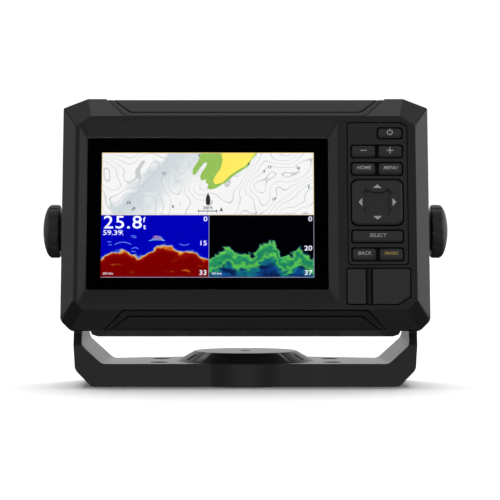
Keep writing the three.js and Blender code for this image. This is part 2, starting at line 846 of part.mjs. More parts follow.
piece(head, "front_bezel", frontBezel(), finishes.casing);
for (const [name, edge, slope, direction] of inlays) {
  piece(head, name, inlay(edge, slope, direction), finishes.trim);
}
piece(head, "rear_housing", rearHousing(), finishes.casing);
piece(
  head,
  "housing_gasket",
  gasketRing(partingFace - gap - gasketDepth, partingFace - gap, 0),
  finishes.rubber,
);

for (const { name, x, y } of screwPlaces) {
  const recess = 1.2;
  const headBack = housingShoulder + gap;
  const shank = drum(screwShank / 2, headBack + gap, screwTip, 12);
  const cap = drum(screwHead / 2, headBack, headBack + screwHeadHeight - gap, 16);
  const drive = drum(recess, headBack - cutPast, headBack + recess, 6);
  piece(head, name, shank.add(cap).subtract(drive).translate([x, y, 0]), finishes.steel);
}

// ---- Window and display ----
piece(
  head,
  "lens_glass",
  plate(windowRectangle(glassWidth, glassHeight, 1.5), glassBack, glassFace),
  finishes.glass,
);
piece(
  head,
  "lens_gasket",
  plate(windowRectangle(glassWidth, glassHeight, 1.5), ledgeFace + gap, glassBack - gap).subtract(
    plate(windowRectangle(ledgeWidth + gasketReach, ledgeHeight + gasketReach, 1), ledgeFace, glassBack),
  ),
  finishes.rubber,
);
piece(
  head,
  "lcd_panel",
  plate(
    windowRectangle(ledgeWidth - 2 * displayGap, ledgeHeight - 2 * displayGap, 0.5),
    displayFace - displayThickness,
    displayFace,
  ),
  finishes.display,
);

function backlightTray() {
  const width = ledgeWidth + 2 * backlightRim;
  const height = ledgeHeight + 2 * backlightRim;
  const lip = 1;
  return plate(windowRectangle(width, height, 1), backlightBack, backlightFace).subtract(
    plate(windowRectangle(ledgeWidth - 2, ledgeHeight - 2, 1), backlightBack + lip, backlightFace + cutPast),
  );
}

function screenBracket() {
  const rim = 6;
  const face = backlightBack - gap;
  const width = ledgeWidth + 2 * rim;
  const height = ledgeHeight + 2 * rim;
  const windowShare = 0.34;
  let sheet = plate(windowRectangle(width, height, 2), face - sheetMetal, face);
  for (const side of [-1, 1]) {
    const hole = centredRectangle(
      windowCentre.x + (side * width) / 4,
      windowCentre.y,
      width * windowShare,
      height * 2 * windowShare,
      3,
    );
    sheet = sheet.subtract(plate(hole, face - sheetMetal - cutPast, face + cutPast));
  }
  return sheet;
}

piece(head, "lcd_backlight", backlightTray(), finishes.nylon);
piece(head, "screen_bracket", screenBracket(), finishes.steel);

// ---- Boards ----
const mainBoard = rectangle(-boardHalf, boardHalf, boardBottom, boardTop, 2);
piece(head, "main_board", plate(mainBoard, boardBack, boardFace), finishes.board);

// A plate of a board part, its middle at x and y.
function boardPart(x, y, width, height, low, high) {
  return plate(centredRectangle(x, y, width, height, 1), low, high);
}

const shieldX = shieldCan.inset - boardHalf;
const shieldTop = boardBack - gap;
const shieldFace = shieldTop - shieldCan.thickness;
piece(
  head,
  "shield_can",
  boardPart(shieldX, shieldCan.y, shieldCan.width, shieldCan.height, shieldFace, shieldTop),
  finishes.steel,
);
const spreaderTop = shieldFace - gap;
piece(
  head,
  "heat_spreader",
  boardPart(
    shieldX,
    shieldCan.y,
    heatSpreader.width,
    heatSpreader.height,
    spreaderTop - heatSpreader.thickness,
    spreaderTop,
  ),
  finishes.steel,
);
const gpsX = boardHalf - gpsAntenna.inset;
const gpsLow = boardFace + gap;
piece(
  head,
  "gps_antenna",
  boardPart(gpsX, gpsAntenna.y, gpsAntenna.side, gpsAntenna.side, gpsLow, gpsLow + gpsAntenna.thickness),
  finishes.ceramic,
);
const buzzer = drum(buzzerCan.radius, shieldTop - buzzerCan.thickness, shieldTop, 20);
piece(
  head,
  "buzzer",
  buzzer.translate([boardHalf - buzzerCan.inset, buzzerCan.y, 0]),
  finishes.rubber,
);
piece(
  head,
  "sonar_board",
  plate(centredRectangle(sonarCentre.x, sonarCentre.y, sonarSize.x, sonarSize.y, 2), sonarBack, sonarFace),
  finishes.board,
);

// ---- Keypad ----
const leftColumn = keyColumn - (keyWidth + keyGap) / 2;
const rightColumn = keyColumn + (keyWidth + keyGap) / 2;
const keys = [
  { name: "key_power", x: rightColumn, y: 44.7, width: keyWidth, height: 5.4 },
  { name: "key_minus", x: leftColumn, y: 35.2, width: keyWidth, height: keyHeight },
  { name: "key_plus", x: rightColumn, y: 35.2, width: keyWidth, height: keyHeight },
  { name: "key_home", x: leftColumn, y: 26.1, width: keyWidth, height: keyHeight },
  { name: "key_menu", x: rightColumn, y: 26.1, width: keyWidth, height: keyHeight },
  { name: "key_select", x: keyColumn, y: -8.9, width: wideKey, height: keyHeight },
  { name: "key_back", x: leftColumn, y: -18.1, width: keyWidth, height: keyHeight },
  { name: "key_mark", x: rightColumn, y: -18.1, width: keyWidth, height: keyHeight },
];
const padY = 8.6;
const keyCorner = 1.2;

// Keys in the same row share one opening.
function keyOpenings() {
  const rows = new Map();
  for (const { x, y, width, height } of keys) {
    const row = rows.get(y) ?? { left: Infinity, right: -Infinity, height };
    row.left = Math.min(row.left, x - width / 2);
    row.right = Math.max(row.right, x + width / 2);
    rows.set(y, row);
  }
  const openings = [...rows].map(([y, { left, right, height }]) =>
    rectangle(
      left - keyClearance,
      right + keyClearance,
      y - height / 2 - keyClearance,
      y + height / 2 + keyClearance,
      keyCorner,
    ),
  );
  openings.push(
    centredRectangle(keyColumn, padY, padSize.x + 3 * keyClearance, padSize.y + 3 * keyClearance, 3),
  );
  return openings;
}

function keypadPanel() {
  let panel = plate(panelOutline(0), panelBack, bezelFront);
  for (const opening of keyOpenings()) {
    panel = panel.subtract(plate(opening, panelBack - cutPast, bezelFront + cutPast));
  }
  return panel;
}

function keyCap({ x, y, width, height }) {
  const face = bezelFront + keyHeightAbovePanel;
  const edge = 0.5;
  const lip = centredRectangle(x, y, width, height + 2 * keyLip, keyCorner, 2);
  const stem = centredRectangle(x, y, width, height, keyCorner, 2);
  const crown = centredRectangle(x, y, width - 2 * edge, height - 2 * edge, keyCorner - edge / 2, 2);
  return plate(lip, keyFoot, keyFoot + keyLipThickness)
    .add(plate(stem, keyFoot + keyLipThickness / 2, face - edge))
    .add(blend([stem, face - edge], [crown, face]));
}

function dirPad() {
  const face = bezelFront + padHeightAbovePanel;
  const edge = 0.8;
  const rim = 7;
  const dish = 0.8;
  const dishSlope = 1;
  const body = centredRectangle(keyColumn, padY, padSize.x, padSize.y, 3.4);
  const crown = centredRectangle(keyColumn, padY, padSize.x - 2 * edge, padSize.y - 2 * edge, 2.8);
  const middle = centredRectangle(keyColumn, padY, padSize.x - 2 * rim, padSize.y - 2 * rim, 2);
  const floorRim = rim + dishSlope;
  const floor = centredRectangle(keyColumn, padY, padSize.x - 2 * floorRim, padSize.y - 2 * floorRim, 1.4);
  return plate(body, keyFoot + gap, face - edge)
    .add(blend([body, face - edge], [crown, face]))
    .subtract(blend([floor, face - dish], [middle, face + gap / 10]));
}

piece(head, "keypad_panel", keypadPanel(), finishes.trim);
for (const key of keys) piece(head, key.name, keyCap(key), finishes.keys);
piece(head, "dpad", dirPad(), finishes.keys);
piece(
  head,
  "dpad_plunger",
  drum(plungerDiameter / 2, membraneFace + gap, keyFoot, 16).translate([keyColumn, padY, 0]),
  finishes.nylon,
);
piece(
  head,
  "keypad_membrane",
  plate(panelOutline(panelLedge + gap), membraneBack, membraneFace),
  finishes.rubber,
);
piece(
  head,
  "key_board",
  plate(panelOutline(panelLedge + gap), keyBoardFace - boardThickness, keyBoardFace),
  finishes.board,
);

// ---- Card door, its hinge strip, seal and socket ----
const hingeEdge = doorHingeRadius + gap;
const bandSlope = 0.8;

// The sloped edges beside the hinge strip let the door swing past square.
function bandCut() {
  const reach = hingeEdge + bandSlope;
  const points = [];
  for (const y of [doorBottom - cutPast, doorTop + cutPast]) {
    for (const side of [-1, 1]) {
      points.push([doorHinge + side * hingeEdge, y, bezelFront - bandSlope]);
      points.push([doorHinge + side * (reach + cutPast), y, bezelFront + cutPast]);
    }
  }
  return hull(points);
}

function doorLeaf(left, right) {
  return plate(doorOutline(left, right, 0), doorBack, bezelFront).subtract(bandCut());
}

piece(head, "card_door", doorLeaf(doorHinge + hingeEdge, doorRight), finishes.rubber);
piece(head, "card_door_anchor", doorLeaf(doorLeft, doorHinge - hingeEdge), finishes.rubber);
piece(head, "card_door_hinge_strip", hingeLine(doorHingeRadius), finishes.rubber);
piece(
  head,
  "card_door_seal",
  plate(cardSocketRectangle(gap + 1.7 * sealWidth), doorFloor - sealWidth + gap, doorFloor).subtract(
    plate(cardSocketRectangle(gap + 0.7 * sealWidth), doorFloor - sealWidth, doorFloor + cutPast),
  ),
  finishes.rubber,
);

function cardSocket() {
  const back = partingFace + gap;
  const body = plate(cardSocketRectangle(0), back, doorFloor);
  const slot = centredRectangle(socketCentre.x, socketCentre.y, slotWidth, slotHeight);
  return body.subtract(plate(slot, back + 1, doorFloor + cutPast));
}
piece(head, "card_socket", cardSocket(), finishes.nylon);

// ---- Sockets and vent on the back ----
function rearSocket({ x, y, outer, bore, pins }) {
  const back = housingBack - socketStandout;
  const floor = back + socketDepth;
  const inner = floor + socketFloor;
  const pinRadius = 0.9;
  const flangeFace = housingBack - gap;
  let socket = drum(outer / 2 - socketFlange, back, inner)
    .add(drum(outer / 2, flangeFace - socketFlange, flangeFace))
    .subtract(drum(bore / 2, back - cutPast, floor));
  for (let i = 0; i < pins; i += 1) {
    const angle = (2 * Math.PI * (i + 0.5)) / pins;
    const pin = drum(pinRadius, back + socketPinRecess, floor + cutPast, 6);
    const reach = bore / 4;
    socket = socket.add(pin.translate([reach * Math.cos(angle), reach * Math.sin(angle), 0]));
  }
  return socket.translate([x, y, 0]);
}

for (const [name, place] of Object.entries(sockets)) piece(head, name, rearSocket(place), finishes.trim);

const vent = drum(ventRadius, housingBack - gap - ventCap, housingBack - gap, 20)
  .add(drum(ventStem, housingBack - cutPast, backFloor, 12))
  .translate([ventPlace.x, ventPlace.y, 0]);
piece(head, "pressure_vent", vent, finishes.rubber);

// ---- Pivot hardware on each side, drawn in the head's frame ----
const studStart = insertEnd + studEndGap;
const studHeadStart = knobInner + knobCollar;

function knobSolid(side) {
  const rim = 1.8;
  const dome = 1.2;
  const radius = knobDiameter / 2;
  const profile = [
    [0, knobInner],
    [knobCollarDiameter / 2, knobInner],
    [knobCollarDiameter / 2, knobInner + knobCollar],
    [radius - rim / 2, knobInner + knobCollar],
    [radius, knobInner + knobCollar + rim / 2],
    [radius, knobFace - dome - rim],
    [radius - rim, knobFace - dome],
    [radius / 2, knobFace - dome / 4],
    [0, knobFace],
  ].map(([r, h]) => new THREE.Vector2(r, h));
  const body = new THREE.LatheGeometry(profile, 24);
  let knob = solid(body.rotateZ(-side * Math.PI / 2));
  const scallopRadius = 2.4;
  const scallopDepth = 0.7;
  for (let i = 0; i < gripScallops; i += 1) {
    const angle = (2 * Math.PI * i) / gripScallops;
    const reach = radius + scallopRadius - scallopDepth;
    const from = side * (knobInner + knobCollar - cutPast);
    const scallop = axle(
      scallopRadius,
      from,
      side * (knobFace + cutPast),
      reach * Math.cos(angle),
      reach * Math.sin(angle),
      8,
    );
    knob = knob.subtract(scallop);
  }
  const bore = axle(studDiameter / 2 + gap, side * (knobInner - cutPast), side * (studHeadStart + 1));
  const pocket = axle(
    studHeadRadius + gap,
    side * (studHeadStart - gap),
    side * (studHeadStart + studHeadLength + gap),
    0,
    0,
    12,
  );
  return knob.subtract(bore).subtract(pocket);
}

function knobStud(side) {
  const shaft = axle(studDiameter / 2, side * studStart, side * (studHeadStart + 1), 0, 0, 20);
  const hexagon = axle(
    studHeadRadius,
    side * studHeadStart,
    side * (studHeadStart + studHeadLength),
    0,
    0,
    6,
  );
  return shaft.add(hexagon);
}

function ring(outer, inner, side, low, high) {
  const bore = axle(inner, side * (low - cutPast), side * (high + cutPast));
  return axle(outer, side * low, side * high).subtract(bore);
}

for (const [where, side] of [
  ["left", -1],
  ["right", 1],
]) {
  const clearBore = studDiameter / 2 + gap;
  piece(
    head,
    `threaded_insert_${where}`,
    ring(insertDiameter / 2, clearBore, side, insertEnd, pivotFace - gap),
    finishes.brass,
  );
  piece(
    head,
    `pivot_washer_${where}`,
    ring(pivotPadRadius - 1, clearBore, side, pivotFace + gap, armPadInner - gap),
    finishes.rubber,
  );
  piece(
    head,
    `knob_washer_${where}`,
    ring(studDiameter, clearBore, side, washerInner, washerInner + knobWasher),
    finishes.steel,
  );
  piece(head, `knob_${where}`, knobSolid(side), finishes.trim);
  piece(head, `knob_stud_${where}`, knobStud(side), finishes.steel);
}

export default fishFinder;
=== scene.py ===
import json
import math
import bpy
from mathutils import Matrix, Vector


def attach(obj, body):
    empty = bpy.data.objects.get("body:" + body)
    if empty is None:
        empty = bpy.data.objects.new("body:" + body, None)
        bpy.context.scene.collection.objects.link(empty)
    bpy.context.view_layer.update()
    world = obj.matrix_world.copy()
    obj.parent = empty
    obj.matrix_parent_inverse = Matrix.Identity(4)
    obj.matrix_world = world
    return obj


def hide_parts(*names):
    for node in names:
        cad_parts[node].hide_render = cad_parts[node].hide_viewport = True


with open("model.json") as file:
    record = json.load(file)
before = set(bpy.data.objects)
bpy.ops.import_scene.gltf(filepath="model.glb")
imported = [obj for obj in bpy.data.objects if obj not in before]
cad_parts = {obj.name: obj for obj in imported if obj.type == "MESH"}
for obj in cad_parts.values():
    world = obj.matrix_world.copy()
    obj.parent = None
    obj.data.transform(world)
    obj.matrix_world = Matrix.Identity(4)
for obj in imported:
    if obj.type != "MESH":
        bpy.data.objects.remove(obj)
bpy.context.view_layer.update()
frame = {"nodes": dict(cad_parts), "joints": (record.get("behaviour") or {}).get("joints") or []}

mm = 0.001
leanBack = 11.5  # degrees that the head leans back from upright

# Head pieces are modelled lying flat in millimetres, x right, y up the screen, z out of the screen,
# and then stood up at the tilt axis. Mount pieces are modelled upright in millimetres.
tiltAxis = next(joint["pos_m"] for joint in frame["joints"] if joint["name"] == "tilt")
standUp = Matrix.Rotation(math.radians(90 - leanBack), 4, "X")
headPlace = Matrix.Translation(tiltAxis) @ standUp @ Matrix.Scale(mm, 4)
mountPlace = Matrix.Scale(mm, 4)


# ---- modelling steps that every piece uses ----

def pick(*pieces):
    if bpy.context.mode != "OBJECT":
        bpy.ops.object.mode_set(mode="OBJECT")
    bpy.ops.object.select_all(action="DESELECT")
    for piece in pieces:
        piece.select_set(True)
    bpy.context.view_layer.objects.active = pieces[0]


def startClean():
    if bpy.context.mode != "OBJECT":
        bpy.ops.object.mode_set(mode="OBJECT")
    bpy.ops.object.select_all(action="DESELECT")


def editMesh(piece, *steps):  # runs edit-mode operators on everything in the piece
    pick(piece)
    bpy.ops.object.mode_set(mode="EDIT")
    bpy.ops.mesh.select_all(action="SELECT")
    for step in steps:
        step()
    bpy.ops.object.mode_set(mode="OBJECT")
    return piece


def faceOut(piece):
    return editMesh(piece, lambda: bpy.ops.mesh.normals_make_consistent(inside=False))


def modify(piece, kind, **settings):
    modifier = piece.modifiers.new(kind.lower(), kind)
    for name, value in settings.items():
        setattr(modifier, name, value)
    pick(piece)
    bpy.ops.object.modifier_apply(modifier=modifier.name)
    return piece


def cut(piece, *cutters, operation="DIFFERENCE"):
    for cutter in cutters:
        modify(piece, "BOOLEAN", operation=operation, solver="EXACT", object=cutter)
        bpy.data.meshes.remove(cutter.data)
    return piece


def join(piece, *others):
    for other in others:
        cut(piece, other, operation="UNION")
    return piece


def tidyFaces(piece, flat=0.4):  # merges what booleans leave behind on flat faces
    return editMesh(
        piece,
        lambda: bpy.ops.mesh.remove_doubles(threshold=0.0015),
        lambda: bpy.ops.mesh.dissolve_limited(angle_limit=math.radians(flat)),
    )


def soften(piece, width, segments=3, angle=30):  # the small radius that every moulded edge has
    tidyFaces(piece)
    modify(
        piece, "BEVEL", width=width, segments=segments, limit_method="ANGLE",
        angle_limit=math.radians(angle), miter_outer="MITER_ARC", use_clamp_overlap=True,
    )
    return piece


def install(piece, place, body, slot, finish, *replaced, smooth=32):
    piece.data.transform(place)
    if place.determinant() < 0:
        piece.data.flip_normals()
    piece.data.materials.clear()
    piece.data.materials.append(finish)
    pick(piece)
    bpy.ops.object.shade_smooth_by_angle(angle=math.radians(smooth))
    modify(piece, "WEIGHTED_NORMAL", keep_sharp=True, weight=60)
    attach(piece, body)
    if replaced:
        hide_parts(*replaced)
    return piece


def localBox(node, place=headPlace):  # a CAD node's corners in millimetres, in the head's or mount's frame
    back = place.inverted()
    points = [back @ vertex.co for vertex in frame["nodes"][node].data.vertices]
    low = Vector([min(point[axis] for point in points) for axis in range(3)])
    high = Vector([max(point[axis] for point in points) for axis in range(3)])
    return low, high


def copyNode(node, name, place=headPlace):  # a working copy of a CAD node, in millimetres
    piece = bpy.data.objects.new(name, frame["nodes"][node].data.copy())
    bpy.context.scene.collection.objects.link(piece)
    piece.data.transform(place.inverted())
    return tidyFaces(piece)


def roundedOutline(corners, steps=6):  # corners are (x, y, radius), in order round the outline
    points = []
    for index, (x, y, radius) in enumerate(corners):
        here = Vector((x, y))
        if not radius:
            points.append(here)
            continue
        before = (Vector(corners[index - 1][:2]) - here).normalized()
        after = (Vector(corners[(index + 1) % len(corners)][:2]) - here).normalized()
        half = before.angle(after) / 2
        centre = here + (before + after).normalized() * (radius / math.sin(half))
        start = here + before * (radius / math.tan(half)) - centre
        turn = (math.pi - 2 * half) * (1 if before.cross(after) < 0 else -1)
        for step in range(steps + 1):
            points.append(centre + Matrix.Rotation(turn * step / steps, 2) @ start)
    return points


def rectangle(low, high, radius=0, steps=6):
    corners = [(low[0], low[1]), (high[0], low[1]), (high[0], high[1]), (low[0], high[1])]
    return roundedOutline([(x, y, radius) for x, y in corners], steps)


def loft(name, *levels):  # levels are (outline, height); every outline has the same number of points
    startClean()
    points, height = levels[0]
    bpy.ops.mesh.primitive_circle_add(vertices=len(points), fill_type="NGON")
    piece = bpy.context.object
    piece.name = name
    for vertex, point in zip(piece.data.vertices, points):
        vertex.co = (point[0], point[1], height)
    for target, level in levels[1:]:
        editMesh(piece)
        places = {(round(p[0], 4), round(p[1], 4)): t for p, t in zip(points, target)}
        bpy.ops.object.mode_set(mode="EDIT")
        bpy.ops.mesh.select_all(action="DESELECT")
        bpy.ops.object.mode_set(mode="OBJECT")
        for face in piece.data.polygons:  # the end face, which is the only one at this height
            face.select = len(face.vertices) == len(points) and all(
                abs(piece.data.vertices[index].co.z - height) < 1e-5 for index in face.vertices
            )
        bpy.ops.object.mode_set(mode="EDIT")
        bpy.ops.mesh.extrude_region_move(TRANSFORM_OT_translate={"value": (0, 0, level - height)})
        bpy.ops.object.mode_set(mode="OBJECT")
        for vertex in piece.data.vertices:
            if vertex.select:
                spot = places[(round(vertex.co.x, 4), round(vertex.co.y, 4))]
                vertex.co = (spot[0], spot[1], level)
        points, height = target, level
    return faceOut(piece)


def plate(name, outline, low, high):
    return loft(name, (outline, low), (outline, high))


def turned(name, profile, sides=64, axis="Z"):  # profile is (radius, height), from axis to axis
    startClean()
    bpy.ops.mesh.primitive_plane_add(size=1)
    piece = bpy.context.object
    piece.name = name
    editMesh(piece, lambda: bpy.ops.mesh.delete(type="ONLY_FACE"))
    editMesh(piece, lambda: bpy.ops.mesh.delete(type="VERT"))
    piece.data.vertices.add(len(profile))
    piece.data.edges.add(len(profile) - 1)
    for index, (radius, height) in enumerate(profile):
        piece.data.vertices[index].co = (radius, 0, height)
    for index in range(len(profile) - 1):
        piece.data.edges[index].vertices = (index, index + 1)
    editMesh(
        piece,
        lambda: bpy.ops.mesh.spin(steps=sides, angle=math.tau, center=(0, 0, 0), axis=(0, 0, 1)),
        lambda: bpy.ops.mesh.select_all(action="SELECT"),
        lambda: bpy.ops.mesh.remove_doubles(threshold=0.001),
        lambda: bpy.ops.mesh.normals_make_consistent(inside=False),
    )
    if axis == "X":
        piece.data.transform(Matrix.Rotation(math.pi / 2, 4, "Y"))
    return piece


def ring(name, outer, inner, low, high, edge=0.15, **settings):  # a turned washer with small edge radii
    profile = [
        (inner, low + edge), (inner + edge, low), (outer - edge, low), (outer, low + edge),
        (outer, high - edge), (outer - edge, high), (inner + edge, high), (inner, high - edge), (inner, low + edge),
    ]
    return turned(name, profile, **settings)


def drum(name, radius, low, high, x=0, y=0, sides=48):
    startClean()
    bpy.ops.mesh.primitive_cylinder_add(
        vertices=sides, radius=radius, depth=high - low, location=(x, y, (low + high) / 2)
    )
    piece = bpy.context.object
    piece.name = name
    bpy.ops.object.transform_apply()
    return piece


def block(name, low, high):
    return plate(name, rectangle(low, high), low[2], high[2])


def stroke(name, points, width, low, high):  # a flat line of that width along points
    points = [Vector(point) for point in points]
    left, right = [], []
    for index, point in enumerate(points):
        ahead = points[min(index + 1, len(points) - 1)] - points[max(index - 1, 0)]
        side = Vector((-ahead.y, ahead.x)).normalized() * width / 2
        left.append(point + side)
        right.append(point - side)
    return plate(name, right + left[::-1], low, high)


def lettering(name, text, height, x, y, low, thickness, **settings):
    startClean()
    bpy.ops.object.text_add()
    piece = bpy.context.object
    piece.name = name
    piece.data.body = text
    piece.data.size = height / 0.68  # capitals are 0.68 of the type's size
    piece.data.align_x = settings.pop("align", "CENTER")
    piece.data.align_y = "CENTER"
    piece.data.extrude = thickness / 2
    piece.data.resolution_u = 4
    turn, widen = settings.pop("turn", 0), settings.pop("widen", 1.0)
    for key, value in settings.items():
        setattr(piece.data, key, value)
    pick(piece)
    bpy.ops.object.convert(target="MESH")
    piece = bpy.context.object
    piece.data.transform(
        Matrix.Translation((x, y, low + thickness / 2)) @ Matrix.Rotation(math.radians(turn), 4, "Z")
        @ Matrix.Diagonal((widen, 1, 1, 1))
    )
    return editMesh(
        piece,
        lambda: bpy.ops.mesh.remove_doubles(threshold=0.002),
        lambda: bpy.ops.mesh.normals_make_consistent(inside=False),
    )


def merge(name, pieces):  # several loose marks become one piece
    pick(*pieces)
    if len(pieces) > 1:
        bpy.ops.object.join()
    pieces[0].name = name
    return pieces[0]


# ---- finishes ----

def linear(hexColour):
    parts = [int(hexColour[at:at + 2], 16) / 255 for at in (1, 3, 5)]
    return [part / 12.92 if part <= 0.04045 else ((part + 0.055) / 1.055) ** 2.4 for part in parts] + [1]


def addNode(tree, kind, inputs=None, stops=None, curve=None, **settings):
    node = tree.nodes.new("ShaderNode" + kind)
    for name, value in settings.items():
        setattr(node, name, value)
    for name, value in (inputs or {}).items():
        if isinstance(value, bpy.types.NodeSocket):
            tree.links.new(value, node.inputs[name])
        else:
            node.inputs[name].default_value = value
    if stops:
        ramp = node.color_ramp
        for position, hexColour in stops[1:-1]:
            ramp.elements.new(position)
        for element, (position, hexColour) in zip(ramp.elements, stops):
            element.position = position
            element.color = linear(hexColour)
    if curve:
        line = node.mapping.curves[0]
        for x, y in curve[1:-1]:
            line.points.new(x, y)
        line.points[0].location = curve[0]
        line.points[-1].location = curve[-1]
        node.mapping.update()
    return node


def newFinish(name, **shader):
    finish = bpy.data.materials.new(name)
    finish.use_nodes = True
    tree = finish.node_tree
    surface = tree.nodes["Principled BSDF"]
    for socket, value in shader.items():
        surface.inputs[socket.replace("_", " ")].default_value = value
    return finish, tree, surface


def moulded(name, colour, roughness, grain, depth, mottle=0.12, coat=0, ior=1.5):
    # Moulded plastic or rubber: grain is the mould's texture in millimetres, mottle the change of shade.
    finish, tree, surface = newFinish(name, IOR=ior, Coat_Weight=coat, Coat_Roughness=0.35)
    place = addNode(tree, "TexCoord").outputs["Object"]
    texture = addNode(tree, "TexNoise", {"Vector": place, "Scale": 1 / (grain * mm), "Detail": 3.0})
    cloud = addNode(tree, "TexNoise", {"Vector": place, "Scale": 1 / (28 * mm), "Detail": 2.0})
    shade = addNode(
        tree, "MapRange", {"Value": cloud.outputs["Fac"], "To Min": 1 - mottle, "To Max": 1 + mottle}
    )
    tint = addNode(
        tree, "VectorMath", {0: linear(colour)[:3], "Scale": shade.outputs["Result"]}, operation="SCALE"
    )
    gloss = addNode(
        tree, "MapRange",
        {"Value": texture.outputs["Fac"], "To Min": roughness - 0.05, "To Max": roughness + 0.05},
    )
    bump = addNode(
        tree, "Bump", {"Height": texture.outputs["Fac"], "Strength": 0.35, "Distance": depth * mm}
    )
    tree.links.new(tint.outputs["Vector"], surface.inputs["Base Color"])
    tree.links.new(gloss.outputs["Result"], surface.inputs["Roughness"])
    tree.links.new(bump.outputs["Normal"], surface.inputs["Normal"])
    return finish


def turnedMetal(name, colour, roughness, line):
    # Turned or rolled metal: fine lines, line millimetres apart, stretch the highlight.
    finish, tree, surface = newFinish(name, Metallic=1.0)
    place = addNode(tree, "TexCoord").outputs["Object"]
    stretch = addNode(tree, "Mapping", {"Vector": place, "Scale": (1, 12, 1)})
    lines = addNode(
        tree, "TexNoise", {"Vector": stretch.outputs["Vector"], "Scale": 1 / (line * mm), "Detail": 4.0}
    )
    shade = addNode(tree, "MapRange", {"Value": lines.outputs["Fac"], "To Min": 0.85, "To Max": 1.1})
    tint = addNode(
        tree, "VectorMath", {0: linear(colour)[:3], "Scale": shade.outputs["Result"]}, operation="SCALE"
    )
    gloss = addNode(
        tree, "MapRange",
        {"Value": lines.outputs["Fac"], "To Min": roughness - 0.08, "To Max": roughness + 0.1},
    )
    tree.links.new(tint.outputs["Vector"], surface.inputs["Base Color"])
    tree.links.new(gloss.outputs["Result"], surface.inputs["Roughness"])
    return finish


def solderMask():
    # Printed circuit board: green lacquer over copper tracks that show as lighter lines.
    finish, tree, surface = newFinish("green_solder_mask", Roughness=0.35, Coat_Weight=0.4)
    place = addNode(tree, "TexCoord").outputs["Object"]
    tracks = addNode(
        tree, "TexBrick", {"Vector": place, "Scale": 1 / (6 * mm), "Mortar Size": 0.03},
    )
    tracks.inputs["Color1"].default_value = linear("#1f5c35")
    tracks.inputs["Color2"].default_value = linear("#1b5230")
    tracks.inputs["Mortar"].default_value = linear("#3f8a55")
    tree.links.new(tracks.outputs["Color"], surface.inputs["Base Color"])
    return finish


def printedInk(name, colour, glow=0.0, sheen=0.5):
    # Screen-printed ink on a key or lit pixels of the display: even colour with a faint unevenness.
    finish, tree, surface = newFinish(
        name, Roughness=0.55, Emission_Strength=glow, Specular_IOR_Level=sheen,
    )
    place = addNode(tree, "TexCoord").outputs["Object"]
    speckle = addNode(tree, "TexNoise", {"Vector": place, "Scale": 1 / (0.4 * mm)})
    shade = addNode(tree, "MapRange", {"Value": speckle.outputs["Fac"], "To Min": 0.92, "To Max": 1.04})
    tint = addNode(
        tree, "VectorMath", {0: linear(colour)[:3], "Scale": shade.outputs["Result"]}, operation="SCALE"
    )
    tree.links.new(tint.outputs["Vector"], surface.inputs["Base Color"])
    if glow:
        tree.links.new(tint.outputs["Vector"], surface.inputs["Emission Color"])
    return finish


casingFinish = moulded("spark_eroded_abs_pc", "#222325", 0.42, 0.5, 0.02)  # satin black, fine even grain
trimFinish = moulded("fine_moulded_abs", "#1e1f21", 0.45, 0.4, 0.012)  # a shade darker and smoother
panelFinish = moulded("keypad_panel_abs", "#292a2c", 0.45, 0.4, 0.012)
bracketFinish = moulded("glass_filled_nylon", "#242527", 0.4, 0.6, 0.02, mottle=0.18)  # slightly cloudy
knobFinish = moulded("soft_touch_tpe", "#323234", 0.5, 0.45, 0.02)  # dull, grips the light less
keyFinish = moulded("coated_silicone_keys", "#3a3b3e", 0.42, 0.3, 0.006)  # smooth satin coat
doorFinish = moulded("moulded_elastomer_door", "#38393b", 0.48, 0.4, 0.01, mottle=0.08)
# Hinge strip coloured near-black: partly the elastomer's own colour, partly painted shade standing in for the shaded
# groove it sits in.
hingeGrooveShadeFinish = moulded("elastomer_hinge_painted_groove_shade", "#161617", 0.75, 0.4, 0.01)
rubberFinish = moulded("moulded_silicone_rubber", "#131313", 0.7, 0.6, 0.02)
socketFinish = moulded("glass_filled_socket_nylon", "#161617", 0.4, 0.5, 0.015)
nylonFinish = moulded("natural_nylon", "#d2cdbf", 0.45, 0.5, 0.01)
ceramicFinish = moulded("fired_ceramic", "#bda987", 0.5, 0.8, 0.02)
steelFinish = turnedMetal("turned_stainless_steel", "#c3c5c7", 0.3, 0.25)
brassFinish = turnedMetal("turned_brass", "#c9a24f", 0.3, 0.25)
boardFinish = solderMask()
legendInk = printedInk("light_grey_key_ink", "#e4e4e4")
markInk = printedInk("yellow_key_ink", "#d8bf66")
print("finishes ready")


# ---- front bezel and its two inlays ----

bezelSizes = {
    "halfWidth": 93.7, "top": 65.4, "bottom": -55.1,  # the casing's edge
    "back": 19.0, "slopeStart": 21.0, "front": 31.0,
    "sideSlope": 7.1, "topSlope": 11.6, "bottomSlope": 8.8,
    "topChamfer": (12.5, 5.0), "bottomCorner": 5.0,
    "ridgeCorner": 5.0, "ridgeTopCorner": 8.0,
    "plateBack": 23.5, "wall": 4.2,
    "window": ((-84.4, -43.0), (46.9, 51.1)),  # mouth of the window at the front ridge
    "mouthCorner": 1.5, "mouthTopLeft": 4.5,
    "edge": 0.45,
}
inlaySizes = {
    "wide": 71.4, "narrow": 61.3, "margin": 0.4, "sink": 0.5, "thickness": 1.6,
    "bend": 4.0, "grooveInset": 2.1, "grooveWidth": 0.55, "grooveDepth": 0.6, "gap": 0.35,
}
b = bezelSizes


def casingOutline(inset):
    side, top, bottom = b["halfWidth"] - inset, b["top"] - inset, b["bottom"] + inset
    corner, (across, down) = b["bottomCorner"], b["topChamfer"]
    return roundedOutline([
        (-side + corner, bottom, 4), (side - corner, bottom, 4), (side, bottom + corner, 4),
        (side, top - down, 1), (side - across, top, 1),
        (-side + across, top, 1), (-side, top - down, 1), (-side, bottom + corner, 4),
    ])


